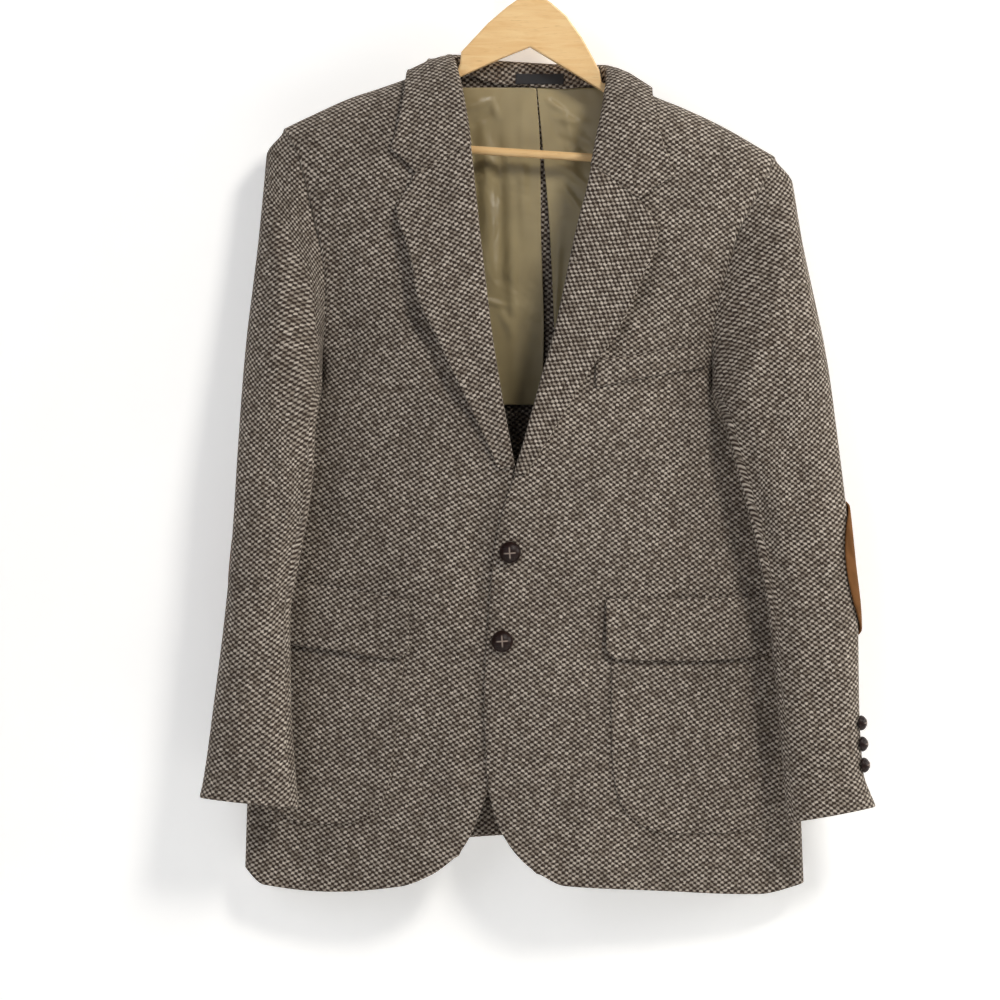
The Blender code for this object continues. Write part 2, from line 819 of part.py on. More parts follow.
def make_elbow_patches():
    for word, side in (("left", LEFT), ("right", RIGHT)):
        middle, drop = ELBOW[side]
        grids = []
        for out in (ELBOW_GAP + THIN_WALL, ELBOW_GAP):
            grid = []
            for row in range(ELBOW_ROWS + 1):
                up = -1 + 2 * row / ELBOW_ROWS
                round_share = math.sqrt(max(0.0, 1 - abs(up) ** ELBOW_ROUNDNESS))
                half = ELBOW_HALF_ANGLE * max(ELBOW_LEAST_SHARE, round_share)
                along_drop = drop + ELBOW_HALF_LENGTH * up
                line = []
                for step in range(ELBOW_COLUMNS + 1):
                    angle = middle + half * (-1 + 2 * step / ELBOW_COLUMNS)
                    start = armhole(side, angle)[2]
                    cuff = CUFF_DROP[side] - CUFF_RISE[side] * math.cos(math.radians(angle))
                    line.append(sleeve_skin(side, angle, (along_drop - start) / (cuff - start), out))
                grid.append(line)
            grids.append(grid)
        shell("elbow_patch_" + word, grids[0], grids[1], SUEDE)


def edge_x(side, drop):
    return read(FRONT_EDGE[side], "drop", "x", drop)


def lapel_grid(side, out_face):
    """Rows of the lapel from the break up, each from inside the roll round it and out over the front."""
    opening = -side
    rows = LAPEL[side]
    last = len(rows["roll"]) - 1
    grid = []
    for row in range(last + 1):
        roll_drop = rows["roll"][row]
        end = (rows["x"][row], rows["drop"][row])
        lift = rows["lift"][row]
        roll_x = edge_x(side, roll_drop)
        notch = soft((row - last + 2.2) / 2.2)
        plain = (mix(roll_x, end[0], NOTCH_AT), mix(roll_drop, end[1], NOTCH_AT))
        bent = (mix(plain[0], NOTCH[side][0], notch), mix(plain[1], NOTCH[side][1], notch))
        y = body_y(FRONT, side, roll_x, roll_drop)
        reach = ROLL_GAP + (WALL if out_face else 0)
        line = [(roll_x + opening * reach, y + WALL, roll_drop)]
        line.append((roll_x + opening * reach, y + WALL * 0.3, roll_drop))
        line.append((roll_x + opening * reach * 0.74, y - reach * 0.74, roll_drop))
        for across in (0.03, 0.2, 0.38, 0.56, NOTCH_AT, 0.86, 1.0):
            if across <= NOTCH_AT:
                part = across / NOTCH_AT
                x = mix(roll_x, bent[0], part)
                drop = mix(roll_drop, bent[1], part)
            else:
                part = (across - NOTCH_AT) / (1 - NOTCH_AT)
                x = mix(bent[0], end[0], part)
                drop = mix(bent[1], end[1], part)
            rest = ROLL_GAP + lift * across + 0.8 * math.sin(math.pi * min(1.0, across * 2.2))
            line.append(skin(FRONT, side, x, drop, rest + (WALL if out_face else 0)))
        grid.append(line)
    return grid


def make_lapels():
    for word, side in (("left", LEFT), ("right", RIGHT)):
        shell("lapel_" + word, lapel_grid(side, True), lapel_grid(side, False), TWEED)


def collar_grid(out_face):
    grid = []
    count = len(COLLAR["x"])
    for row in range(count):
        face, side, x, drop, tip_x, tip_z, fall_x, fall_y, stand, end_x, end_drop, lift = (
            COLLAR[name][row] for name in COLLAR
        )
        tip = Vector((tip_x, 0.0, -tip_z)).normalized()
        fall = Vector((fall_x, fall_y, 0.0)).normalized()
        middle = Vector(skin(face, side, x, drop, 0.0))
        middle += fall * -WALL / 2
        wall = WALL if out_face else 0.0
        half = WALL / 2 + COLLAR_GAP + wall
        reach = COLLAR_GAP + wall
        line = [
            middle - fall * half - tip * stand,
            middle - fall * half - tip * stand * 0.5,
            middle - fall * half + tip * 0.4,
            middle - fall * half * 0.72 + tip * reach * 0.72,
            middle + tip * reach,
            middle + fall * half * 0.72 + tip * reach * 0.72,
        ]
        ends = 1.0 if row in (0, count - 1) else 0.0
        notch = NOTCH[side]
        for across in (0.06, 0.22, 0.42, 0.62, 0.82, 1.0):
            to_x = mix(x, end_x, across)
            to_drop = mix(drop, end_drop, across)
            if ends:
                gap_drop = notch[1] - 1.0
                if across <= NOTCH_AT_COLLAR:
                    part = across / NOTCH_AT_COLLAR
                    to_x = mix(x, notch[0], part)
                    to_drop = mix(drop, gap_drop, part)
                else:
                    part = (across - NOTCH_AT_COLLAR) / (1 - NOTCH_AT_COLLAR)
                    to_x = mix(notch[0], end_x, part)
                    to_drop = mix(gap_drop, end_drop, part)
            rest = COLLAR_GAP + lift * min(1.0, across * 2.5) + wall
            line.append(Vector(skin(face, side, to_x, to_drop, rest)))
        grid.append([tuple(point) for point in line])
    return grid


def make_collar():
    shell("collar", collar_grid(True), collar_grid(False), TWEED)


def laid_grid(side, rows, columns, out):
    """A piece given as left and right by height, laid on the front at this distance."""
    grid = []
    for drop in rows["drop"]:
        left = read(rows, "drop", "left", drop)
        right = read(rows, "drop", "right", drop)
        line = []
        for step in range(columns + 1):
            line.append(skin(FRONT, side, mix(left, right, step / columns), drop, out))
        grid.append(line)
    return grid


def strip_grid(side, rows, columns, deep, out):
    """A piece given as top and bottom by its place across, laid on the front."""
    grid = []
    first = rows["x"][0]
    last = rows["x"][-1]
    places = [mix(first, last, (1 - math.cos(math.pi * step / columns)) / 2) for step in range(columns + 1)]
    for row in range(deep + 1):
        line = []
        for x in places:
            top = read(rows, "x", "top", x)
            bottom = read(rows, "x", "bottom", x)
            line.append(skin(FRONT, side, x, mix(top, bottom, row / deep), out))
        grid.append(line)
    return grid


def make_pockets():
    for word, side in (("left", LEFT), ("right", RIGHT)):
        pocket = HIP_POCKET[side]
        flap_out = LAID_GAP * 2 + THIN_WALL
        shell(
            "hip_pocket_" + word,
            laid_grid(side, pocket, 9, LAID_GAP + THIN_WALL),
            laid_grid(side, pocket, 9, LAID_GAP),
            TWEED,
        )
        shell(
            "hip_flap_" + word,
            strip_grid(side, HIP_FLAP[side], 10, 4, flap_out + THIN_WALL),
            strip_grid(side, HIP_FLAP[side], 10, 4, flap_out),
            TWEED,
        )
    shell(
        "breast_welt",
        strip_grid(RIGHT, WELT, 8, 3, WELT_GAP + THIN_WALL),
        strip_grid(RIGHT, WELT, 8, 3, WELT_GAP),
        TWEED,
    )


def make_lining():
    for word, side in (("left", LEFT), ("right", RIGHT)):
        grids = []
        for wall in (0.0, LINING_WALL):
            grid = []
            for row in range(LINING_ROWS + 1):
                line = []
                for step in range(LINING_COLUMNS + 1):
                    pleat_drop = mix(LINING_TOP, LINING_HEM, row / LINING_ROWS)
                    pleat = read(PLEAT, "drop", word, pleat_drop)
                    x = mix(pleat, side * LINING_SIDE, step / LINING_COLUMNS)
                    top = max(LINING_TOP, read(RIDGE, "x", "drop", x) + LINING_UNDER_RIDGE)
                    drop = mix(top, LINING_HEM, row / LINING_ROWS)
                    wave = LINING_WAVE * math.sin(step * 2.1 + row * 0.8) ** 2
                    loose = read(PLEAT, "drop", "loose", drop) + wave
                    line.append(skin(BACK, side, x, drop, -WALL - LAID_GAP - loose - LINING_WALL + wall))
                grid.append(line)
            grids.append(grid)
        shell("lining_" + word, grids[0], grids[1], LINING, 0.4)


def make_label():
    """A bare woven tab on the inside of the collar stand, just off its face."""
    grids = []
    for out in (LAID_GAP + LABEL_WALL, LAID_GAP):
        grid = []
        for drop in (LABEL_TOP, (LABEL_TOP + LABEL_BOTTOM) / 2, LABEL_BOTTOM):
            line = []
            for step in range(LABEL_COLUMNS + 1):
                x = mix(LABEL_LEFT, LABEL_RIGHT, step / LABEL_COLUMNS)
                line.append((x, stand_y(x) - out, drop))
            grid.append(line)
        grids.append(grid)
    shell("collar_label", grids[0], grids[1], LABEL, 0.6)


def stand_y(x):
    """The depth of the collar stand's inner face behind the neck."""
    row = next(number for number in range(len(COLLAR["x"])) if COLLAR["x"][number + 1] > x)
    depths = []
    for number in (row, row + 1):
        face = COLLAR["face"][number]
        side = COLLAR["side"][number]
        middle = skin(face, side, COLLAR["x"][number], COLLAR["drop"][number])
        depths.append(middle[1] - COLLAR["fall_y"][number] * (WALL * 2 + COLLAR_GAP))
    part = (x - COLLAR["x"][row]) / (COLLAR["x"][row + 1] - COLLAR["x"][row])
    return mix(depths[0], depths[1], part)


def make_button(name, centre, facing, radius, high, shank):
    """A domed button on its thread shank: a thin neck, a flat back, a rounded rim, a low crown."""
    facing = Vector(facing).normalized()
    across = facing.cross(Vector((0, 0, 1))).normalized()
    up = across.cross(facing)
    profile = [(SHANK_RADIUS, LAID_GAP), (SHANK_RADIUS, shank)]
    profile += [(radius * wide, shank + high * tall) for wide, tall in BUTTON_CROWN]
    sides = BUTTON_SIDES
    points = []
    for wide, tall in profile:
        for step in range(sides):
            turn = 2 * math.pi * step / sides
            way = across * math.cos(turn) + up * math.sin(turn)
            points.append(tuple(Vector(centre) + facing * tall + way * wide))
    faces = [tuple(range(sides))[::-1]]
    for row in range(len(profile) - 1):
        for step in range(sides):
            after = (step + 1) % sides
            low = row * sides
            faces.append((low + step, low + after, low + sides + after, low + sides + step))
    faces.append(tuple((len(profile) - 1) * sides + step for step in range(sides)))
    add(name, points, faces, LEATHER, 0.45)


def make_buttons():
    for number, (x, drop) in enumerate(FRONT_BUTTONS, 1):
        facing = body_normal(FRONT, RIGHT, x, drop)
        facing = Vector((facing.x, facing.y, -facing.z))
        centre = skin(FRONT, RIGHT, x, drop)
        name = f"front_button_{number}"
        make_button(name, centre, facing, FRONT_BUTTON_RADIUS, FRONT_BUTTON_HIGH, BUTTON_SHANK)
    for word, side in (("left", LEFT), ("right", RIGHT)):
        for number, drop in enumerate(CUFF_BUTTONS, 1):
            angle = CUFF_BUTTON_ANGLE[side]
            start = armhole(side, angle)[2]
            cuff = CUFF_DROP[side] - CUFF_RISE[side] * math.cos(math.radians(angle))
            along = (drop - start) / (cuff - start)
            centre = sleeve_skin(side, angle, along)
            facing = sleeve_normal(side, angle, along)
            name = f"cuff_button_{word}_{number}"
            make_button(name, centre, facing, CUFF_BUTTON_RADIUS, CUFF_BUTTON_HIGH, CUFF_SHANK)


def cut(target, cutter):
    cutter.hide_render = True
    cutter.display_type = "WIRE"
    change = target.modifiers.new("bore", "BOOLEAN")
    change.operation = "DIFFERENCE"
    change.solver = "EXACT"
    change.object = cutter


def rod(name, start, end, radius, colour, rough=0.5, metal=0.0, sides=16):
    start = Vector(start)
    end = Vector(end)
    along = (end - start).normalized()
    across = along.cross(Vector((0, 1, 0)))
    if across.length < 0.1:
        across = along.cross(Vector((1, 0, 0)))
    across.normalize()
    up = along.cross(across)
    points = []
    for centre in (start, end):
        for step in range(sides):
            turn = 2 * math.pi * step / sides
            points.append(tuple(centre + (across * math.cos(turn) + up * math.sin(turn)) * radius))
    faces = [tuple(range(sides)), tuple(range(sides, 2 * sides))]
    for step in range(sides):
        after = (step + 1) % sides
        faces.append((step, after, sides + after, sides + step))
    return add(name, points, faces, colour, rough, metal)


def make_hanger():
    arm = [(x, read(RIDGE, "x", "drop", x) + HANGER_UNDER_RIDGE) for x in HANGER_ARM]
    left_arm = [(-x, read(RIDGE, "x", "drop", -x) + HANGER_UNDER_RIDGE) for x in HANGER_ARM[::-1]]
    outline = [HANGER_END[LEFT], *left_arm]
    outline += [(x, drop) for x, drop in zip(HANGER_NECK["x"], HANGER_NECK["drop"])]
    outline += [*arm, HANGER_END[RIGHT]]
    outline += [(x, drop) for x, drop in zip(HANGER_BOTTOM["x"], HANGER_BOTTOM["drop"])][::-1]
    half = HANGER_THICK / 2
    count = len(outline)
    points = [(x, -half, drop) for x, drop in outline] + [(x, half, drop) for x, drop in outline]
    faces = [tuple(range(count)), tuple(range(count, 2 * count))]
    for step in range(count):
        after = (step + 1) % count
        faces.append((step, after, count + after, count + step))
    hanger = add("hanger", points, faces, WOOD, 0.45)
    edge = hanger.modifiers.new("edge", "BEVEL")
    edge.width = HANGER_EDGE * MM
    edge.segments = 2
    edge.limit_method = "ANGLE"
    edge.angle_limit = math.radians(60)
    bar_start = (BAR_LEFT[0], 0.0, BAR_LEFT[1])
    bar_end = (BAR_RIGHT[0], 0.0, BAR_RIGHT[1])
    rod("trouser_bar", bar_start, bar_end, BAR_RADIUS, WOOD)
    lean = (BAR_RIGHT[1] - BAR_LEFT[1]) / (BAR_RIGHT[0] - BAR_LEFT[0])
    for name, side, end in (("bore_left", LEFT, BAR_LEFT), ("bore_right", RIGHT, BAR_RIGHT)):
        deep = (end[0] + side * BORE_GAP, 0.0, end[1] + lean * side * BORE_GAP)
        clear = (end[0] - side * BORE_CLEAR, 0.0, end[1] - lean * side * BORE_CLEAR)
        cut(hanger, rod(name, deep, clear, BAR_RADIUS + BORE_GAP, WOOD))
    stem = (0.0, 0.0, HOOK_STEM_DROP)
    above = (0.0, 0.0, HOOK_STEM_DROP - BORE_CLEAR)
    below = (0.0, 0.0, HOOK_STEM_DROP + BORE_GAP)
    cut(hanger, rod("bore_hook", below, above, HOOK_WIRE + BORE_GAP, METAL))
    make_hook(stem)


def make_hook(stem):
    """One wire: a straight stem that leans over into the hook's arc."""
    centre_drop = HOOK_RADIUS - HOOK_TO_DRAFT
    reach = HOOK_RADIUS + HOOK_WIRE
    path = [Vector(stem)] + [Vector(point) for point in HOOK_LEAN]
    for angle in range(HOOK_FIRST_ANGLE, HOOK_LAST_ANGLE + 1, HOOK_STEP_ANGLE):
        turn = math.radians(angle)
        path.append(Vector((reach * math.cos(turn), 0, centre_drop - reach * math.sin(turn))))
    sides = HOOK_SIDES
    points = []
    for step, at in enumerate(path):
        before = path[max(step - 1, 0)]
        after = path[min(step + 1, len(path) - 1)]
        along = (after - before).normalized()
        side_way = Vector((0, 1, 0))
        across = along.cross(side_way).normalized()
        for corner in range(sides):
            turn = 2 * math.pi * corner / sides
            points.append(tuple(at + (side_way * math.cos(turn) + across * math.sin(turn)) * HOOK_WIRE))
    faces = [tuple(range(sides)), tuple(range((len(path) - 1) * sides, len(path) * sides))]
    for row in range(len(path) - 1):
        low = row * sides
        for corner in range(sides):
            after = (corner + 1) % sides
            faces.append((low + corner, low + after, low + sides + after, low + sides + corner))
    add("hook", points, faces, METAL, 0.3, 1.0)


def clear_scene():
    for item in list(bpy.data.objects):
        bpy.data.objects.remove(item)


clear_scene()
make_fronts()
make_backs()
make_sleeves()
make_elbow_patches()
make_lapels()
make_collar()
make_pockets()
make_lining()
make_label()
make_buttons()
make_hanger()
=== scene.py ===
"""The looks of a tweed hacking jacket on a wooden hanger. Every cloth piece is a thin shell on the
draft that its solid has: x runs to the viewer's right, y is depth and drop is the way down, in draft
millimetres, which `world` grades to the jacket's size in metres."""

import math

import bpy
import numpy as np
from mathutils import Matrix, Vector

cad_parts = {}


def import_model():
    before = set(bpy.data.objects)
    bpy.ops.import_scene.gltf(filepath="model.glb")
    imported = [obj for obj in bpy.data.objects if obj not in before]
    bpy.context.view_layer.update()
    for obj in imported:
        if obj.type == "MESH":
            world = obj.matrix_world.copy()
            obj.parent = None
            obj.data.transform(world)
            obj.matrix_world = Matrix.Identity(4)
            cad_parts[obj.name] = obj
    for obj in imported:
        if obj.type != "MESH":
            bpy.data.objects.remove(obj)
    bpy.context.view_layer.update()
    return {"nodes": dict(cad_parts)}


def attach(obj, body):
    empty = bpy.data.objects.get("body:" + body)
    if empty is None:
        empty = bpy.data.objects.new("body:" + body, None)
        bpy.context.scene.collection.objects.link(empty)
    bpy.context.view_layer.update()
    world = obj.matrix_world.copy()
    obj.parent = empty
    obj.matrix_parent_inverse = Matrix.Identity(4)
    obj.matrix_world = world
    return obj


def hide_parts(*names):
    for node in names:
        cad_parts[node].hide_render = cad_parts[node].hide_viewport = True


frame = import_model()

GRADE = 0.96
MM = 0.001 * GRADE
HOOK_TO_DRAFT = 93.0

# Cloth walls and the gaps between cloth layers, in draft millimetres.
WALL = 2.6
THIN_WALL = 2.1
LINING_WALL = 1.2
HALF_GAP = 0.2
LAID_GAP = 0.4
WELT_GAP = 1.4
ROLL_GAP = 0.7
COLLAR_GAP = 1.3
SLEEVE_GAP = 0.9
EDGE_ROLL = 8.0
STEP = 0.02

FRONT = "front"
BACK = "back"
LEFT = -1
RIGHT = 1
SIDES = (("left", LEFT), ("right", RIGHT))
SHOULDER_ROLL = {FRONT: 46.0, BACK: 32.0}


def table(columns, text):
    """A table's columns by their names. Its rows are parted by semicolons."""
    words = {"front": FRONT, "back": BACK, "left": LEFT, "right": RIGHT}
    rows = [[words.get(word) or float(word) for word in row.split()] for row in text.split(";")]
    return {name: np.array(column) for name, column in zip(columns.split(), zip(*rows))}


# The hanging body: its outline left and right, the depth of the side seams, how far the front and
# the back stand out from there, and how square the plan is (a small power is a square chest).
BODY = table("drop left right seam front back power", """
    20 -262 262 0 14 13 0.6; 60 -262 262 0 18 15 0.6; 127 -262 264 0 25 17 0.6;
    200 -243 246 4 34 18 0.6; 287 -226 212 9 41 17 0.65; 350 -213 190 13 43 16 0.8;
    372 -208 183 14 44 16 0.9; 390 -212 184.5 15 44 16 0.95; 410 -220 191 15 44 16 1;
    440 -231 206 16 44 16 1.1; 490 -247 224 17 43 16 1.2; 560 -265 249 18 41 16 1.3;
    630 -276 263 18 39 16 1.3; 700 -281 268 18 37 15 1.2; 800 -285 273 18 35 14 1.1;
    900 -288 277 18 33 13 1
""")

# The shoulder ridge, from the left shoulder over the neck to the right one.
RIDGE = table("x drop", """
    -262 135; -247 127; -219 113.5; -180 96; -150 86; -120 75; -97 63; -83 55.6; -58 40; 0 30; 56 46;
    83 67.6; 97 77; 118 91; 156 107; 194 125; 234 148; 246 155; 262 166
""")

# Where the panels end at the armhole and then at the side seam.
ARMHOLE = {
    LEFT: table("drop x", """
        127 -247; 149 -234; 183 -224; 218 -216; 252 -208; 287 -204; 321 -205; 350 -207; 370 -208
    """),
    RIGHT: table("drop x", """
        155 246; 173 239; 199 225; 226 211; 266 198; 292 190.5; 321 185; 350 182.5; 378 183
    """),
}
SHOULDER_DROP = {LEFT: 127.0, RIGHT: 155.0}
UNDERARM_DROP = {LEFT: 370.0, RIGHT: 378.0}
SIDE_HEM_DROP = {LEFT: 869.0, RIGHT: 885.0}

# The free edge of each front: neck, roll line, button edge, cutaway.
FRONT_EDGE = {
    LEFT: table("drop x", """
        55.6 -83; 63 -80; 75 -75.5; 93 -71; 118 -66; 147 -62; 190 -57.5; 229 -53.5; 280 -47.5;
        330 -41.5; 390 -32; 440 -23; 475 -16; 500 -6; 530 1; 570 2; 640 -2; 700 -12; 750 -28; 785 -41;
        815 -52; 837 -61; 855 -72
    """),
    RIGHT: table("drop x", """
        67.6 83; 77 81.5; 95 78.2; 122 72.8; 154 66.5; 196 58; 221 51; 260 42.5; 330 27.5; 390 10.5;
        440 -3; 475 -14; 500 -23; 530 -31; 570 -37; 640 -42; 700 -45; 760 -43; 790 -40; 820 -33;
        845 -20; 862 -6; 872 6
    """),
}
BACK_NECK = table("x drop", "-83 55.6; -72 55; -45 58.5; 0 62; 45 64.5; 72 65; 83 67.6")
NECK_SIDE = 83

# The free or centre edge and the hem of each panel.
FREE_EDGE = {
    FRONT: FRONT_EDGE,
    BACK: {side: table("drop x", f"62 {side * HALF_GAP}; 838 {side * HALF_GAP}") for _, side in SIDES},
}
HEM = {
    FRONT: {
        LEFT: table("x drop", "-288 869; -268 886; -200 892; -130 886; -98 874; -72 855"),
        RIGHT: table("x drop", "6 872; 34 885; 120 890; 230 895; 277 885"),
    },
    BACK: dict.fromkeys((LEFT, RIGHT), table("x drop", "-288 869; -150 850; 0 838; 150 862; 277 885")),
}
HEM_SHARE = 0.25

# About how wide and long each panel is, which sets how many points it gets.
PANEL_WIDTH = {FRONT: 220, BACK: 260}
PANEL_LENGTH = 760

# The right front lies over the left one by this much, and the lap dies away across the chest.
LAP = 3.6
LAP_FULL_X = 14.0
LAP_END_X = 130.0
LAP_START_DROP = 375.0
LAP_FULL_DROP = 455.0

# Soft folds of the fronts and the back: the line they follow, how wide and how proud they are.
FOLDS = {
    FRONT: table("x0 drop0 x1 drop1 width height", """
        -178 270 -166 520 26 2.2; -112 420 -120 560 22 1.6; -60 690 -78 840 24 2; 150 430 170 580 26 2;
        60 470 44 640 24 1.6; 30 700 48 860 26 2.4; 122 240 108 330 24 1.5
    """),
    BACK: table("x0 drop0 x1 drop1 width height", """
        -120 240 -140 620 34 2.6; 118 250 146 640 34 2.6; -40 560 -52 820 30 2; 52 540 60 830 30 2.2
    """),
}

# Each sleeve by height: its outer and inner side, and the front and back of its plan.
SLEEVE = {
    LEFT: table("drop outer inner front back", """
        120 -261 -214 -12 16; 157 -265 -214 -15 16; 192 -268 -213 -20 17; 244 -273 -210 -27 17;
        287 -278 -208 -32 16; 338 -284 -210 -38 14; 375 -287 -213 -42 4; 420 -290 -214 -46 -5;
        470 -293 -216 -49 -11; 520 -296 -222 -51 -11; 560 -299 -230 -52 -12; 620 -305 -239 -54 -12;
        700 -315 -238 -56 -12; 780 -326 -233 -58 -12; 802 -331 -231 -58 -12
    """),
    RIGHT: table("drop outer inner front back", """
        150 258 214 -12 16; 187 265 212 -17 17; 238 273 203 -26 17; 287 283 193 -33 17;
        345 295 187 -39 14; 378 300 189 -43 4; 420 305 194 -46 -5; 470 311 206 -49 -11;
        520 317 219 -51 -11; 560 321 228 -52 -12; 620 327 238 -54 -12; 700 328 246 -56 -12;
        770 332 252 -58 -12; 804 344 255 -59 -12
    """),
}
CUFF_DROP = {LEFT: 800.0, RIGHT: 812.0}
CUFF_RISE = {LEFT: 5.0, RIGHT: 8.0}
HIND_SEAM = {LEFT: -48.0, RIGHT: -20.0}
FORE_SEAM = 150.0
CAP_FADE = 26.0
UNDER_FADE = 62.0
FADE_TURN = 1.2
NEAR_SHARE = 0.004
NEAR_ANGLE = 1.5
TOP_WIDTH = 190
UNDER_WIDTH = 150
SLEEVE_LENGTH = 640
SLEEVE_HEAD = 24.0
ARMHOLE_SHARE = 0.02
SLEEVE_SEAM_ANGLE = 0.45

# The lapels by rows from the break up: where the row leaves the roll line, and where it ends.
LAPEL = {
    LEFT: table("roll x drop lift", """
        466 -31 468 0.4; 440 -43 440 1; 405 -58 407 2; 365 -75 367 3; 330 -91 333 3.6; 295 -104 299 3.4;
        262 -114 268 3; 230 -121 240 2.4; 196 -131 215 1.8; 173 -131.5 205 1.6; 148 -128 199 1.6
    """),
    RIGHT: table("roll x drop lift", """
        472 -5 474 0.4; 445 12 447 0.8; 410 33 412 1.6; 370 56 372 2.4; 335 76 336 2.6; 300 94 304 2.4;
        268 109 274 2.2; 236 120 252 1.8; 212 125.5 236 1.4; 190 126 226 1.2; 169 122 219 1.2
    """),
}
NOTCH = {LEFT: (-112.0, 173.0), RIGHT: (107.0, 199.0)}
NOTCH_AT = 0.72
NOTCH_AT_COLLAR = 0.62
NOTCH_ROWS = 2.2
ROLL_TURN = 0.74
ROLL_FULLNESS = 0.8
ROLL_FULL = 2.2
LIFT_FULL = 2.5
LAPEL_ACROSS = (0.03, 0.2, 0.38, 0.56, NOTCH_AT, 0.86, 1.0)
COLLAR_TURN = 0.72
COLLAR_ACROSS = (0.06, 0.22, 0.42, 0.62, 0.82, 1.0)
COLLAR_OVER_NOTCH = 1.0
COLLAR_UNROLL = 0.7

# The collar by rows round the neck: the panel edge it folds over, the way its fold and its fall
# face, the height of the stand inside, and its outer edge.
COLLAR = table("face side x drop tip_x tip_z fall_x fall_y stand edge_x edge_drop lift", """
    front left -62.3 146 0.99 0.12 -0.05 -1 1 -138 149 1.4;
    front left -64.2 130 0.98 0.18 -0.1 -1 1 -132 132 1.6;
    front left -68.6 105 0.96 0.28 -0.2 -1 1.5 -127 110 2.5;
    front left -73.3 83 0.9 0.45 -0.35 -0.94 3 -123.5 94 2.9;
    front left -76.8 71 0.8 0.6 -0.55 -0.84 6 -122 84 3.3;
    front left -80.4 62 0.6 0.8 -0.8 -0.6 9 -120.5 78 4.2;
    front left -82.1 58 0.45 0.88 -0.92 -0.35 9.5 -119.5 76 4.3;
    front left -83 55.6 0.3 0.95 -1 0 10 -119 74.8 4.3;
    back left -82.2 55.6 0.2 0.97 -0.95 0.3 10.5 -118.5 75.6 4.3;
    back left -80.5 55.6 0.1 0.99 -0.85 0.55 11 -116.5 80 4.2;
    back left -76.5 55.2 0.05 1 -0.7 0.72 12 -110 89 3.8;
    back left -68 55.3 0 1 -0.5 0.87 14 -96 101 2.9; back left -57 56.6 0 1 -0.32 0.95 16 -76 109 2.8;
    back left -45 58.5 0 1 -0.2 0.98 18 -58 115 2.5; back left 0 62 0 1 0 1 19 0 121 1.4;
    back right 45 64.5 0 1 0.2 0.98 19 60 124 2.5; back right 57 65 0 1 0.32 0.95 17 78 120 3;
    back right 68 64.9 0 1 0.5 0.87 15 97 114 3.6; back right 76.5 65.6 -0.05 1 0.7 0.72 13 110 103 4.2;
    back right 80.5 66.6 -0.1 0.99 0.85 0.55 12 115 96 4.5;
    back right 82.2 67.2 -0.2 0.97 0.95 0.3 11.5 117 91.6 4.5;
    front right 83 67.6 -0.3 0.95 1 0 11 117.5 90.7 4.4;
    front right 82.7 70.2 -0.45 0.88 0.92 -0.35 10 118.2 92.5 4.4;
    front right 82 74 -0.6 0.8 0.8 -0.6 9 119 95.5 4.2;
    front right 80.6 83 -0.8 0.6 0.55 -0.84 6 120.5 102 3.3;
    front right 78.2 95 -0.92 0.4 0.35 -0.94 3 123 113 2.9;
    front right 74.8 113 -0.98 0.2 0.15 -1 1.5 128 134 2.5;
    front right 70.4 134 -0.99 0.15 0.1 -1 1 135 155 1.6;
    front right 64.1 166.5 -0.99 0.12 0.05 -1 1 143 175 1.4
""")

# Laid pieces: edges given as left and right by height.
HIP_POCKET = {
    LEFT: table("drop left right", """
        606 -261 -124; 658 -262 -127; 730 -262 -134; 775 -261 -140; 800 -258 -148; 815 -250 -160;
        824 -232 -180
    """),
    RIGHT: table("drop left right", """
        604 80 246; 658 82 248; 735 82 250; 780 85 250; 806 93 248; 822 107 240; 833 130 218
    """),
}
HIP_FLAP = {
    LEFT: table("x top bottom", "-262 578 636; -250 580 642; -190 590 650; -135 598 657; -121 600 650"),
    RIGHT: table("x top bottom", "76 600 650; 86 600 658; 160 600 660; 232 598 656; 246 598 649"),
}
WELT = table("x top bottom", "66 363 386; 72 361.5 385; 120 353 375; 168 344.5 367; 174 343.5 366")

# The half lining of the back: the pleat edge of each half, and how loose it hangs.
PLEAT = table("drop left right loose", """
    84 6 8 0.1; 147 10 14 2; 229 11 21 3.5; 330 14 26 4.5; 403 12 30 5
""")
LINING_SIDE = 148.0
LINING_TOP = 84.0
LINING_HEM = 403.0
LINING_UNDER_RIDGE = 20.0
LINING_WAVE = 0.5
LINING_WAVE_ACROSS = 16.8
LINING_WAVE_DOWN = 8.0
LINING_WIDTH = 140

LABEL_LEFT = -14.0
LABEL_RIGHT = 34.0
LABEL_TOP = 70.5
LABEL_BOTTOM = 80.0
LABEL_WALL = 0.8
LABEL_COLUMNS = 41
LABEL_ROWS = 13

# The buttons and elbow patches: where they are sewn on, and their sizes. The cuffs' are turned to where
# they show.
FRONT_BUTTONS = ((-20.0, 552.0), (-28.0, 641.0))
FRONT_BUTTON_RADIUS = 11.0
FRONT_BUTTON_HIGH = 8.6
BUTTON_SHANK = 1.8
CUFF_BUTTONS = (722.0, 743.0, 764.0)
CUFF_BUTTON_ANGLE = {LEFT: -46.0, RIGHT: 14.0}
CUFF_BUTTON_RADIUS = 7.6
CUFF_BUTTON_HIGH = 6.4
ELBOW = {LEFT: (-78.0, 560.0), RIGHT: (-24.0, 568.0)}
ELBOW_HALF_ANGLE = 58.0
ELBOW_GAP = 1.7
ELBOW_HALF_LENGTH = 66.0
ELBOW_LEAST_SHARE = 0.16
ELBOW_ROUNDNESS = 2.4
ELBOW_ROWS = 45
ELBOW_COLUMNS = 37

# How far apart the points of the cloth shells are, in draft millimetres.
CLOTH_STEP = 3.2
LINING_STEP = 2.0

# How far the sleeve's cloth is drawn in at the armhole seam, and over what share of its length.
SEAM_DIP = 1.0
SEAM_DIP_SHARE = 0.03
SEAM_DIP_REACH = 0.6

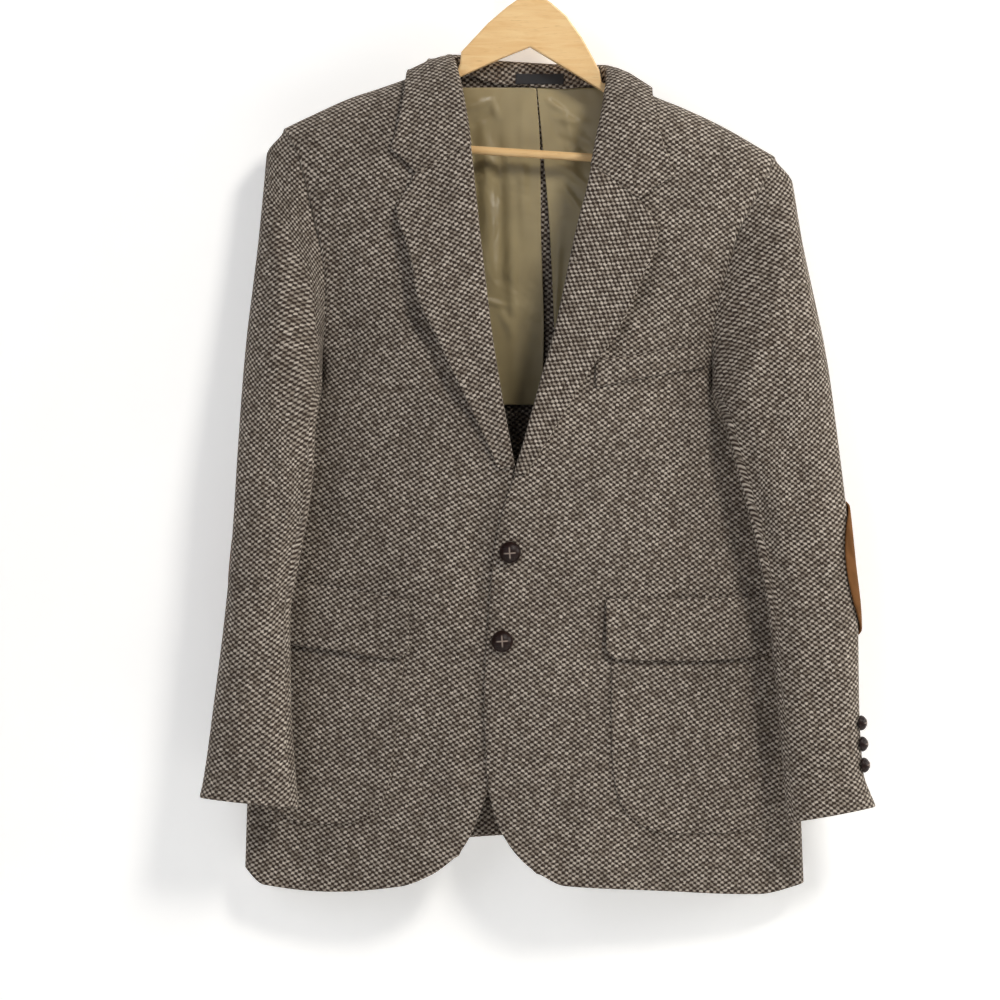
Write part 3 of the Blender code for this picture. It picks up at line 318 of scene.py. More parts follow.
# The front's seam allowance behind the sleeve: how far it goes on and back, and where it starts and ends.
SEAM_LIP = 3.0
LIP_BACK = 0.9
LIP_START = 240
LIP_GROW = 40
LIP_END = 440
LIP_FADE = 30

# How far the lapels' and the flaps' lower edges stand off the cloth under them.
LAPEL_STAND = 4.5
FLAP_STAND = 3.2
POCKET_WIDTH = 140
FLAP_HIGH = 56

# A body's creases grow from its edge, and are free of it below the armhole; a sleeve's start below it.
CREASE_OFF_EDGE = 3.0
CREASE_GROW = 16.0
CREASE_FREE_DROP = 410
CREASE_FREE_OVER = 50
CREASE_START_SHARE = 0.05

# The turns of a shell's rounded edge, and how many points a rolled end gets.
RIM_ANGLES = (45, 90, 135)
ROLL_STEPS = 7

# The tweed's pips, how far they wander, and the ribs of satin and tape, in metres.
PIP_ACROSS = 0.00675
PIP_DOWN = 0.0051
PIP_WANDER = 0.0021
SATIN_RIB = 0.0009
TAPE_RIB = 0.0008

# A leather button's turn in degrees, and its parts as shares of its radius and its height.
BUTTON_TURN = 4.0
STRIP_HALF = 0.42
STRIP_ROUNDING = 0.07
SHANK_SHARE = 0.24
DOME_HIGH = 0.84
UNDER_STRIP_HIGH = 0.93
CORNER_ANGLE = 40
SMOOTH_ANGLE = 35

# The room and the view, in metres.
ROOM_WIDE = 6.0
WALL_AT = (0.0, 0.045, -0.6)
FLOOR_AT = (0.0, 0.0, -1.6)
WALL_GLOW = 0.32
VIEW_CENTRE = (-0.0288, -0.02, -0.5693)
VIEW_WIDE = 0.96
VIEW_AWAY = 4.0
SKY_STRENGTH = 0.11

# The studio's lamps: place, size, watts and colour.
LIGHTS = (
    ("key", (1.25, -2.0, 1.2), 0.6, 41.0, "#FFFAF3"),
    ("side", (2.3, -0.55, -0.1), 0.8, 20.0, "#FFFDF8"),
    ("fill", (-1.6, -2.4, 0.3), 2.0, 18.0, "#F6F8FF"),
)

# What each piece was cut to, in real millimetres, how much of that rectangle its cloth fills, and how
# its grain lies against upright, in degrees.
CUT = {
    "front_left": (268, 800, 0.76, -10),
    "front_right": (275, 800, 0.80, -5),
    "back_left": (275, 810, 0.795, 3),
    "back_right": (270, 820, 0.755, -3),
    "top_sleeve_left": (115, 660, 0.79, -7),
    "top_sleeve_right": (120, 660, 0.765, 7),
    "under_sleeve_left": (90, 600, 0.775, -7),
    "under_sleeve_right": (115, 610, 0.84, 7),
    "lapel_left": (80, 310, 0.625, 13),
    "lapel_right": (80, 305, 0.59, -32),
    "collar": (480, 75, 0.853, 8),
    "hip_pocket_left": (132, 210, 0.913, -8),
    "hip_pocket_right": (162, 222, 0.98, -10),
    "hip_flap_left": (138, 58, 0.985, -10),
    "hip_flap_right": (165, 58, 0.98, -8),
    "breast_welt": (104, 23, 0.96, -4),
    "elbow_patch_left": (62, 127, 0.84, 0),
    "elbow_patch_right": (62, 127, 0.84, 0),
    "lining_left": (150, 310, 0.985, 0),
    "lining_right": (130, 310, 0.89, 0),
    "collar_label": (47, 10.5, 0.87, 0),
}

# Creases listed one by one: the line each follows, half its width, and its height, below 0 for a trough.
CREASES = {
    FRONT: table("x0 drop0 x1 drop1 width height", """
        -194 215 -177 420 14 -7.5; -202 400 -219 660 15 -8.5; -150 150 -168 330 22 1.6;
        -141 212 -127 290 12 -5; -130 270 -101 348 13 -10; -103 340 -69 418 11 -6;
        -122 380 -120 600 7 -1.2; -100 400 -104 590 16 1.5; -60 500 -20 560 14 1.3;
        -70 600 -30 640 12 -1.2; -240 640 -246 860 14 2; -110 700 -96 880 14 -2; -46 470 -53 640 14 -7;
        -53 636 -54 810 11 -4.5; -190 830 -200 892 22 2.2; 193 215 180 400 15 -9;
        196 400 221 640 20 -12.5; 221 620 236 800 18 -9.5; 129 232 114 276 11 -4.5;
        117 266 92 318 14 -11; 96 310 66 362 13 -8; 118 390 128 560 18 1.7; 90 395 86 560 12 -1.3;
        10 500 -20 560 14 1.2; 0 600 -26 645 12 -1.2; 60 780 56 892 20 2; 150 840 156 894 26 2.1;
        220 700 228 890 14 -1.8; 140 180 150 330 24 1.5
    """),
    BACK: table("x0 drop0 x1 drop1 width height", """
        -180 200 -196 420 18 -2; 176 220 190 430 18 -2; -90 600 -110 860 24 2; 96 620 120 880 24 2;
        -60 180 -90 330 20 -1.4; 64 190 92 340 20 -1.4; -150 380 -60 500 18 1.4; 160 400 70 520 18 1.4
    """),
}

# The sleeves' creases: place round the sleeve in degrees and down it, width and height.
SLEEVE_CREASES = {
    LEFT: table("x0 drop0 x1 drop1 width height", """
        60 430 110 520 14 -2.4; 120 500 60 560 12 -2; 20 560 70 640 12 1.6; 90 250 80 420 16 1.6;
        50 200 44 400 13 -1.2; 150 330 160 430 24 2.4; 140 400 138 660 18 -4.5; 110 600 90 780 14 -1.8;
        200 420 250 560 14 -2; 290 450 240 600 14 1.6
    """),
    RIGHT: table("x0 drop0 x1 drop1 width height", """
        38 190 34 430 12 2.6; 100 300 95 520 18 -3; 150 330 160 430 24 2.6; 140 400 138 660 20 -6;
        60 450 115 540 13 -2.4; 115 520 70 590 12 -1.8; 90 600 100 790 14 -1.8; 50 580 44 800 13 1.8;
        210 430 255 570 14 -2; 290 450 240 600 14 1.6
    """),
}

# The satin's soft wrinkles, which hang from the neck and run along the pleat.
LINING_CREASES = table("x0 drop0 x1 drop1 width height", """
    -57 92 -53 390 5 -3; -47 100 -38 296 7 4.2; -31 110 -29 296 4.5 -3; -20 118 -16 402 5 3;
    -8 92 -6 250 5 2.2; -64 108 -34 94 3.5 2.6; -60 124 -36 108 3 -1.8; -40 94 -30 118 3.5 2.2;
    -54 296 -22 304 3 2.6; -34 300 -16 336 4 2.2; -46 340 -36 402 6 2.6; 14 94 40 112 3.5 2.4;
    18 112 64 122 4 2.4; 22 130 66 150 4 -2.2; 24 154 62 186 4 2.8; 30 178 58 214 3.5 2.2;
    36 94 46 180 6 2.4; 30 220 22 402 5 2.8; 12 172 18 262 4 1.8
""")


def mix(start, end, part):
    return start + (end - start) * part


def soft(part):
    part = np.clip(part, 0.0, 1.0)
    return part * part * (3 - 2 * part)


def curve(start, end, lead, tail, part):
    """A smooth curve from start to end, with its slopes there."""
    return mix(start, end, soft(part)) + lead * part * (1 - part) ** 2 + tail * part * part * (part - 1)


def read(rows, value, at):
    """A column at any places of the table's first one: a smooth curve that doesn't overshoot its rows."""
    keys = next(iter(rows.values())).astype(float)
    values = rows[value].astype(float)
    at = np.clip(at, keys[0], keys[-1])
    steps = np.diff(values) / np.diff(keys)
    turns = np.concatenate([steps[:1], np.zeros(len(steps) - 1), steps[-1:]])
    product = steps[:-1] * steps[1:]
    total = steps[:-1] + steps[1:]
    kept = product > 0
    turns[1:-1][kept] = 2 * product[kept] / total[kept]
    number = np.clip(np.searchsorted(keys, at) - 1, 0, len(keys) - 2)
    width = np.diff(keys)[number]
    part = (at - keys[number]) / width
    lead, tail = turns[number] * width, turns[number + 1] * width
    return curve(values[number], values[number + 1], lead, tail, part)


def rise(distance, radius):
    """A quarter round: 0 at its edge, 1 from its radius on."""
    part = 1 - np.clip(distance / radius, 0.0, 1.0)
    return np.sqrt(1 - part * part)


def unit(vectors):
    return vectors / np.maximum(np.linalg.norm(vectors, axis=-1, keepdims=True), 1e-12)


def world(points):
    """Draft points (x, y, drop) in metres of the row frame."""
    return np.stack([points[..., 0], points[..., 1], -(points[..., 2] + HOOK_TO_DRAFT)], -1) * MM


def ridges(rows, x, drop):
    """The sum of soft ridges, or troughs where the height is below 0: each dies away across, and at
    both ends of its line."""
    total = 0.0
    for x0, drop0, x1, drop1, width, height in zip(*rows.values()):
        along_x = x1 - x0
        along_drop = drop1 - drop0
        length = math.hypot(along_x, along_drop)
        part = ((x - x0) * along_x + (drop - drop0) * along_drop) / length**2
        across = ((x - x0) * along_drop - (drop - drop0) * along_x) / length / width
        total = total + height * np.exp(-across * across) * np.sin(math.pi * np.clip(part, 0, 1))
    return total


def fold_height(face, x, drop):
    """The large folds that the solids have."""
    total = 0.0
    for x0, drop0, x1, drop1, width, height in zip(*FOLDS[face].values()):
        part = (drop - drop0) / (drop1 - drop0)
        across = (x - mix(x0, x1, part)) / width
        total = total + height * np.exp(-across * across) * np.sin(math.pi * np.clip(part, 0, 1))
    return total


def lap_height(x, drop):
    across = 1 - soft((x - LAP_FULL_X) / (LAP_END_X - LAP_FULL_X))
    return LAP * across * soft((drop - LAP_START_DROP) / (LAP_FULL_DROP - LAP_START_DROP))


def body_y(face, side, x, drop):
    """The depth of the outer face of the body."""
    keys = ("left", "right", "seam", face, "power")
    left, right, seam, stand, power = (read(BODY, key, drop) for key in keys)
    across = (x - (left + right) / 2) / ((right - left) / 2)
    full = np.maximum(0.0, 1 - across * across) ** power
    under_ridge = rise(drop - read(RIDGE, "drop", x), SHOULDER_ROLL[face])
    inside = np.minimum(x - left, right - x)
    # Beside the armhole the creases die out, so the body's edge stays on the sleeve's.
    kept = soft((inside - CREASE_OFF_EDGE) / CREASE_GROW)
    kept = mix(kept, 1.0, soft((drop - CREASE_FREE_DROP) / CREASE_FREE_OVER))
    stand = stand + fold_height(face, x, drop) + ridges(CREASES[face], x, drop) * kept
    depth = (EDGE_ROLL * rise(inside, EDGE_ROLL) + full * stand) * under_ridge + HALF_GAP
    if face == FRONT and side == RIGHT:
        depth = depth + lap_height(x, drop)
    return seam - depth if face == FRONT else seam + depth


def body_normal(face, side, x, drop):
    inwards = np.where(x > 0, -STEP, STEP)
    here = body_y(face, side, x, drop)
    across = (body_y(face, side, x + inwards, drop) - here) / inwards
    down = (body_y(face, side, x, drop + STEP) - here) / STEP
    ones = np.ones_like(here)
    facing = [across, -ones, down] if face == FRONT else [-across, ones, -down]
    return unit(np.stack(facing, -1))


def skin(face, side, x, drop, out=0.0):
    """The points of the body's outer face, moved out along its normals."""
    x, drop = np.broadcast_arrays(np.asarray(x, float), np.asarray(drop, float))
    here = np.stack([x, body_y(face, side, x, drop), drop], -1)
    return here + body_normal(face, side, x, drop) * np.asarray(out)[..., None]


def even(length, spacing, rolls=(0.0, 0.0)):
    """Shares from 0 to 1 at an even spacing, closer together over a roll of the given width at an end."""
    first, last = rolls
    plain = length - first - last
    count = max(2, round(plain / spacing))
    turn = [(1 - math.cos(math.pi / 2 * step / ROLL_STEPS)) for step in range(ROLL_STEPS)]
    shares = [first * part for part in turn] if first else []
    shares += [first + plain * step / count for step in range(count + (0 if last else 1))]
    if last:
        shares += [length - last] + [length - last * part for part in reversed(turn)]
    return np.unique(np.round(np.array(shares) / length, 6))


def unroll(grid, turn):
    """The flat pattern of a grid: across by the rows' own length, down by the columns'. turn is how the
    grain lies, in degrees."""
    across = np.diff(grid, axis=1)
    step = np.hypot(across[..., 0], across[..., 1])
    u = np.concatenate([np.zeros((len(grid), 1)), np.cumsum(step, 1)], 1)
    way = np.sign(grid[:, -1:, 0] - grid[:, :1, 0])
    u = grid[:, :1, 0] + u * np.where(way == 0, 1, way)
    down = np.diff(grid, axis=0)
    step = np.hypot(down[..., 1], down[..., 2]) * np.sign(down[..., 2] + 1e-12)
    v = np.concatenate([grid[:1, :, 2], grid[:1, :, 2] + np.cumsum(step, 0)], 0)
    return turned(u, v, turn)


def turned(u, v, turn):
    sine, cosine = math.sin(math.radians(turn)), math.cos(math.radians(turn))
    return np.stack([u * cosine - v * sine, u * sine + v * cosine], -1)


def refine(grid):
    """A coarse grid made finer both ways, on smooth curves through its points."""
    for axis in (0, 1):
        grid = np.moveaxis(grid, axis, 0)
        steps = np.diff(grid, axis=0)
        length = np.maximum(np.linalg.norm(steps, axis=-1, keepdims=True), 1e-6)
        slopes = steps / length
        middle = (slopes[:-1] * length[1:] + slopes[1:] * length[:-1]) / (length[1:] + length[:-1])
        turns = np.concatenate([slopes[:1], middle, slopes[-1:]])
        counts = np.maximum(1, np.ceil(length.reshape(len(length), -1).max(1) / CLOTH_STEP)).astype(int)
        at = [number + step / count for number, count in enumerate(counts) for step in range(count)]
        at = np.array(at + [len(length)], float)
        number = np.minimum(at.astype(int), len(length) - 1)
        part = (at - number).reshape((-1,) + (1,) * (grid.ndim - 1))
        lead = turns[number] * length[number]
        tail = turns[number + 1] * length[number]
        grid = np.moveaxis(curve(grid[number], grid[number + 1], lead, tail, part), 0, axis)
    return grid


def linear(value):
    return value / 12.92 if value <= 0.04045 else ((value + 0.055) / 1.055) ** 2.4


def paint(code):
    """A linear colour from an sRGB hex value."""
    return tuple(linear(int(code[at : at + 2], 16) / 255) for at in (1, 3, 5)) + (1.0,)


def new_material(name, solid=False, **sockets):
    """A material, its nodes and the place on it: in space on a solid, by its flat pattern on cloth."""
    made = bpy.data.materials.new(name)
    made.use_nodes = True
    shader = made.node_tree.nodes["Principled BSDF"]
    for socket, value in sockets.items():
        shader.inputs[socket.replace("_", " ")].default_value = value
    tree = made.node_tree
    if solid:
        return made, tree, node(tree, "TexCoord", ())["Object"]
    return made, tree, node(tree, "UVMap", (), uv_map="flat")[0]


def node(tree, kind, inputs, **settings):
    """Adds a shader node with its settings, and its sockets as links or values; gives its outputs."""
    made = tree.nodes.new("ShaderNode" + kind)
    for key, value in settings.items():
        setattr(made, key, value)
    for socket, value in (inputs if isinstance(inputs, dict) else dict(enumerate(inputs))).items():
        if isinstance(value, bpy.types.NodeSocket):
            tree.links.new(value, made.inputs[socket])
        else:
            made.inputs[socket].default_value = value
    return made.outputs


def mottle(tree, place, shades, scale, detail, distortion=0.0, low=0.0, high=1.0):
    """A colour that wanders between two shades, and the noise that it follows."""
    inputs = {"Vector": place, "Scale": scale, "Detail": detail, "Distortion": distortion}
    noise = node(tree, "TexNoise", inputs)[0]
    share = node(tree, "MapRange", (noise, low, high))[0]
    first, last = (paint(shade) for shade in shades.split())
    return node(tree, "Mix", {0: share, 6: first, 7: last}, data_type="RGBA")[2], noise


def join(made, colour, height=None, strength=0.0, distance=0.0):
    """Joins a material's colour and its fine relief to its shader."""
    tree = made.node_tree
    shader = tree.nodes["Principled BSDF"]
    tree.links.new(colour, shader.inputs["Base Color"])
    if height:
        relief = node(tree, "Bump", {"Height": height, "Strength": strength, "Distance": distance})[0]
        tree.links.new(relief, shader.inputs["Normal"])
    return made


def cloth(name, outer, inner, flat, finish):
    """A closed cloth shell between two draft grids, its edges rounded, with its flat pattern as UVs."""
    outer = world(outer)
    inner = world(inner)
    rows, columns = outer.shape[:2]
    last_row = rows - 1
    last_column = columns - 1
    loop = [(0, column) for column in range(columns)]
    loop += [(row, last_column) for row in range(1, rows)]
    loop += [(last_row, column) for column in range(columns - 2, -1, -1)]
    loop += [(row, 0) for row in range(rows - 2, 0, -1)]
    row, column = np.array(loop).T
    near = (np.clip(row, 1, last_row - 1), np.clip(column, 1, last_column - 1))
    edge = (row, column)
    centre = (outer + inner) / 2
    half = (outer - inner) / 2
    out = centre[edge] - centre[near]
    thick = unit(half[edge])
    out = unit(out - thick * np.sum(out * thick, -1, keepdims=True))
    radius = np.linalg.norm(half[edge], axis=-1, keepdims=True)
    reach = np.linalg.norm(outer[edge] - outer[near], axis=-1, keepdims=True)
    way = (flat[edge] - flat[near]) / np.maximum(reach, 1e-9)
    points = [outer.reshape(-1, 3), inner.reshape(-1, 3)]
    maps = [flat.reshape(-1, 2), flat.reshape(-1, 2)]
    for turn in np.radians(RIM_ANGLES):
        points.append(centre[edge] + half[edge] * math.cos(turn) + out * radius * math.sin(turn))
        maps.append(flat[edge] + way * radius * turn)
    points = np.concatenate(points)
    size = rows * columns
    corner = np.arange(size).reshape(rows, columns)
    quads = [corner[:-1, :-1], corner[:-1, 1:], corner[1:, 1:], corner[1:, :-1]]
    quads = np.stack(quads, -1).reshape(-1, 4)
    faces = [quads, size + quads[:, ::-1]]
    rim = row * columns + column
    count = len(rim)
    rings = [2 * size + step * count + np.arange(count) for step in range(len(RIM_ANGLES))]
    rings = [rim, *rings, size + rim]
    for first, last in zip(rings, rings[1:]):
        faces.append(np.stack([first, last, np.roll(last, -1), np.roll(first, -1)], -1))
    faces = np.concatenate(faces)
    corners = points[faces]
    across = np.cross(corners[:, 2] - corners[:, 0], corners[:, 3] - corners[:, 1])
    if np.sum((corners.mean(1) - points.mean(0)) * across) < 0:
        faces = faces[:, ::-1]
    mesh = bpy.data.meshes.new(name)
    mesh.from_pydata(points.tolist(), [], faces.tolist())
    layer = mesh.uv_layers.new(name="flat")
    layer.data.foreach_set("uv", np.concatenate(maps)[faces].reshape(-1).astype(np.float32))
    mesh.shade_smooth()
    mesh.materials.append(finish)
    made = bpy.data.objects.new(name, mesh)
    bpy.context.scene.collection.objects.link(made)
    return made


def sew(name, grids, made_of="cloth", flat=None):
    """A cloth piece in the place of its solid. Unless a flat pattern is given, it unrolls one and turns
    it to the grain of its cut; the size that it was cut to and the share of that rectangle that the cloth
    fills are not used."""
    width, length, share, grain = CUT[name]
    if flat is None:
        flat = unroll(grids[0], grain)
    piece = cloth(f"{name}_{made_of}", *grids, flat * MM, FINISH[made_of])
    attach(piece, "root")
    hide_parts(name)


def panel_edge(side, drop):
    """Where a body panel ends at the armhole, and below it at the side seam."""
    seam = read(BODY, "left" if side == LEFT else "right", drop)
    return np.where(drop < UNDERARM_DROP[side], read(ARMHOLE[side], "x", drop), seam)


def top_edge(x):
    return np.where(np.abs(x) < NECK_SIDE, read(BACK_NECK, "drop", x), read(RIDGE, "drop", x))


def body_grid(face, side, out):
    """The rows of a front or a back from the hem up to the shoulder seam, each from the free or centre
    edge to the armhole and side seam."""
    across = even(PANEL_WIDTH[face], CLOTH_STEP, (0.0, EDGE_ROLL))[None, :]
    up = even(PANEL_LENGTH, CLOTH_STEP, (0.0, SHOULDER_ROLL[face]))[:, None]
    edge = FREE_EDGE[face][side]
    ends = [edge["drop"][-1], edge["drop"][0]]
    sides = [SIDE_HEM_DROP[side], SHOULDER_DROP[side]]
    hem_x, top_x = (
        mix(read(edge, "x", inner), panel_edge(side, np.array(outer)), across)
        for inner, outer in zip(ends, sides)
    )
    inner_drop = mix(*ends, up)
    outer_drop = mix(*sides, up)
    drop = mix(inner_drop, outer_drop, across)
    hem_off = read(HEM[face][side], "drop", hem_x) - mix(ends[0], sides[0], across)
    drop = drop + hem_off * np.maximum(0.0, 1 - up / HEM_SHARE) ** 2
    drop = drop + (top_edge(top_x) - mix(ends[1], sides[1], across)) * up**4
    x = mix(read(edge, "x", inner_drop), panel_edge(side, outer_drop), across)
    return skin(face, side, x, drop, out)


def make_body():
    for face in (FRONT, BACK):
        for word, side in SIDES:
            grids = [body_grid(face, side, out) for out in (0.0, -WALL)]
            for grid in grids if face == FRONT else ():
                # The seam allowance turns in behind the sleeve, so no light comes through the seam.
                drop = grid[:, -1, 2]
                lip = SEAM_LIP * soft((drop - LIP_START) / LIP_GROW) * soft((LIP_END - drop) / LIP_FADE)
                grid[:, -1, 0] += side * lip
                grid[:, -1, 1] += LIP_BACK * lip
            sew(f"{face}_{word}", grids)


def ring(side, angle, drop):
    """The point of a sleeve's plan at this height; 0 is its outer side, 90 its front."""
    outer, inner, front, back = (read(SLEEVE[side], key, drop) for key in list(SLEEVE[side])[1:])
    turn = np.radians(angle)
    x = (outer + inner) / 2 + (outer - inner) / 2 * np.cos(turn)
    y = (front + back) / 2 - (back - front) / 2 * np.sin(turn)
    return x, y


def armhole(side, angle):
    """The point of the armhole seam that the sleeve's line at this angle starts from."""
    turn = np.radians(angle)
    drop = mix(SHOULDER_DROP[side], UNDERARM_DROP[side], (1 - np.cos(turn)) / 2)
    x = panel_edge(side, drop - STEP)
    in_front, behind = (body_y(face, side, x - side * STEP, drop) for face in (FRONT, BACK))
    return x + side * SLEEVE_GAP, np.where(np.sin(turn) >= 0, in_front, behind), drop


def cuff_drop(side, angle):
    return CUFF_DROP[side] - CUFF_RISE[side] * np.cos(np.radians(angle))


def along_sleeve(side, angle, drop):
    """How far down the sleeve a height is, as a share of its length at this angle."""
    start = armhole(side, np.asarray(angle, float))[2]
    return (drop - start) / (cuff_drop(side, angle) - start)


def sleeve_point(side, angle, along):
    angle, along = np.broadcast_arrays(np.asarray(angle, float), np.asarray(along, float))
    x0, y0, drop0 = armhole(side, angle)
    drop = mix(drop0, cuff_drop(side, angle), along)
    start_x, start_y = ring(side, angle, drop0)
    x, y = ring(side, angle, drop)
    length = mix(CAP_FADE, UNDER_FADE, soft((1 - np.cos(np.radians(angle))) / FADE_TURN))
    fade = 1 - soft((drop - drop0) / length)
    return np.stack([x + (x0 - start_x) * fade, y + (y0 - start_y) * fade, drop], -1)


def sleeve_normal(side, angle, along):
    above, below = np.maximum(along - NEAR_SHARE, 0.0), np.minimum(along + NEAR_SHARE, 1.0)
    down = sleeve_point(side, angle, below) - sleeve_point(side, angle, above)
    around = sleeve_point(side, angle + NEAR_ANGLE, along) - sleeve_point(side, angle - NEAR_ANGLE, along)
    facing = unit(np.cross(down, around))
    turn = np.radians(np.broadcast_to(angle, facing.shape[:-1]))
    outwards = np.stack([side * np.cos(turn), -np.sin(turn), np.zeros_like(turn)], -1)
    return facing * np.where(np.sum(facing * outwards, -1, keepdims=True) < 0, -1, 1)


def sleeve_skin(side, angle, along, out=0.0):
    """A point of the sleeve's outer face moved out; at the armhole its wall lines up with the body's."""
    angle, along = np.broadcast_arrays(np.asarray(angle, float), np.asarray(along, float))
    point = sleeve_point(side, angle, along)
    facing = sleeve_normal(side, angle, along)
    near = 1 - soft(along / ARMHOLE_SHARE)
    x, _, drop = armhole(side, angle)
    x = x - side * (SLEEVE_GAP + STEP)
    in_front = (np.sin(np.radians(angle)) >= 0)[..., None]
    body = np.where(in_front, body_normal(FRONT, side, x, drop), body_normal(BACK, side, x, drop))
    use = ((near > 0) & (facing[..., 0] * side > body[..., 0] * side))[..., None]
    facing = np.where(use, unit(facing + (body - facing) * near[..., None]), facing)
    # The creases start a little way down, and the cloth is drawn in at the seam but for the underarm.
    round_angle = np.mod(angle + 180, 360) - 180
    lift = sum(ridges(SLEEVE_CREASES[side], round_angle + lap, point[..., 2]) for lap in (0, 360, -360))
    lift = lift * soft(along / CREASE_START_SHARE)
    above = soft((np.cos(np.radians(angle)) + SEAM_DIP_REACH) / SEAM_DIP_REACH)
    lift = lift - SEAM_DIP * (1 - soft(along / SEAM_DIP_SHARE)) * above
    return point + facing * (np.asarray(out) + lift)[..., None]


def make_sleeves():
    for word, side in SIDES:
        hind = HIND_SEAM[side]
        spans = (("top", hind, FORE_SEAM, TOP_WIDTH), ("under", FORE_SEAM, hind + 360, UNDER_WIDTH))
        for start_name, start, end, width in spans:
            ends = start + SLEEVE_SEAM_ANGLE, end - SLEEVE_SEAM_ANGLE
            angles = mix(*ends, even(width, CLOTH_STEP))[None, :]
            along = even(SLEEVE_LENGTH, CLOTH_STEP, (SLEEVE_HEAD, 0.0))[:, None]
            grids = [sleeve_skin(side, angles, along, out) for out in (0.0, -WALL)]
            sew(f"{start_name}_sleeve_{word}", grids)


def make_elbow_patches():
    for word, side in SIDES:
        middle, drop = ELBOW[side]
        up = np.linspace(-1, 1, ELBOW_ROWS)[:, None]
        round_share = np.sqrt(np.maximum(0.0, 1 - np.abs(up) ** ELBOW_ROUNDNESS))
        half = ELBOW_HALF_ANGLE * np.maximum(ELBOW_LEAST_SHARE, round_share)
        angle = middle + half * np.linspace(-1, 1, ELBOW_COLUMNS)[None, :]
        along = along_sleeve(side, angle, drop + ELBOW_HALF_LENGTH * up)
        grids = [sleeve_skin(side, angle, along, out) for out in (ELBOW_GAP + THIN_WALL, ELBOW_GAP)]
        sew("elbow_patch_" + word, grids, "suede")


def broken(start, middle, end, share, part):
    """A place on the line from start to end over middle, which is at this share of it."""
    if part <= share:
        return mix(start, middle, part / share)
    return mix(middle, end, (part - share) / (1 - share))


def lapel_grid(side, wall):
    """Rows of the lapel from the break up, each from inside the roll round it and out over the front."""
    opening = -side
    rows = LAPEL[side]
    last = len(rows["roll"]) - 1
    grid = []
    for row, (roll_drop, end_x, end_drop, lift) in enumerate(zip(*rows.values())):
        roll_x = read(FRONT_EDGE[side], "x", roll_drop)
        start, end = np.array([roll_x, roll_drop]), np.array([end_x, end_drop])
        bent = mix(mix(start, end, NOTCH_AT), np.array(NOTCH[side]), soft((row - last) / NOTCH_ROWS + 1))
        y = body_y(FRONT, side, roll_x, roll_drop)
        reach = ROLL_GAP + wall
        line = [
            (roll_x + opening * reach, y + WALL, roll_drop),
            (roll_x + opening * reach, y + WALL * 0.3, roll_drop),
            (roll_x + opening * reach * ROLL_TURN, y - reach * ROLL_TURN, roll_drop),
        ]
        for across in LAPEL_ACROSS:
            x, drop = broken(start, bent, end, NOTCH_AT, across)
            rest = ROLL_GAP + lift * across
            rest += ROLL_FULLNESS * math.sin(math.pi * min(1.0, across * ROLL_FULL))
            rest += LAPEL_STAND * across**2 * math.sin(math.pi * row / last)
            # A lapel bridges the troughs of the front under it.
            rest -= min(0.0, ridges(CREASES[FRONT], x, drop)) * min(1.0, across * LIFT_FULL)
            line.append(skin(FRONT, side, x, drop, rest + wall))
        grid.append(line)
    return np.array(grid, float)


def make_lapels():
    for word, side in SIDES:
        both = refine(np.stack([lapel_grid(side, wall) for wall in (WALL, 0.0)], 2))
        sew("lapel_" + word, [both[:, :, 0], both[:, :, 1]])


def collar_grid(wall):
    grid = []
    count = len(COLLAR["x"])
    for row, (face, side, x, drop, *values) in enumerate(zip(*COLLAR.values())):
        tip_x, tip_z, fall_x, fall_y, stand, end_x, end_drop, lift = values
        tip = unit(np.array([tip_x, 0.0, -tip_z]))
        fall = unit(np.array([fall_x, fall_y, 0.0]))
        middle = skin(face, side, x, drop) - fall * WALL / 2
        reach = COLLAR_GAP + wall
        half = WALL / 2 + reach
        line = [
            middle - fall * half - tip * stand,
            middle - fall * half - tip * stand * 0.5,
            middle - fall * half + tip * 0.4,
            middle - fall * half * COLLAR_TURN + tip * reach * COLLAR_TURN,
            middle + tip * reach,
            middle + fall * half * COLLAR_TURN + tip * reach * COLLAR_TURN,
        ]
        start, end = np.array([x, drop]), np.array([end_x, end_drop])
        notch = np.array(NOTCH[side]) - (0.0, COLLAR_OVER_NOTCH)
        for across in COLLAR_ACROSS:
            bent = row in (0, count - 1)
            at = broken(start, notch, end, NOTCH_AT_COLLAR, across) if bent else mix(start, end, across)
            line.append(skin(face, side, *at, COLLAR_GAP + lift * min(1.0, across * LIFT_FULL) + wall))
        grid.append(line)
    return np.array(grid, float)


def make_collar():
    both = refine(np.stack([collar_grid(wall) for wall in (WALL, 0.0)], 2))
    grids = [both[:, :, 0], both[:, :, 1]]
    # Its flat pattern goes across by width, and down by height and depth, so the fold unrolls.
    flat = turned(grids[0][..., 0], grids[0][..., 2] - COLLAR_UNROLL * grids[0][..., 1], CUT["collar"][3])
    sew("collar", grids, flat=flat)


def laid_grids(side, rows, out):
    """A piece given as left and right by height, laid on the front: its outer and inner faces."""
    drops = rows["drop"]
    drop = mix(drops[0], drops[-1], even(drops[-1] - drops[0], CLOTH_STEP))[:, None]
    x = mix(read(rows, "left", drop), read(rows, "right", drop), even(POCKET_WIDTH, CLOTH_STEP)[None, :])
    return [skin(FRONT, side, x, drop, out + wall) for wall in (THIN_WALL, 0.0)]


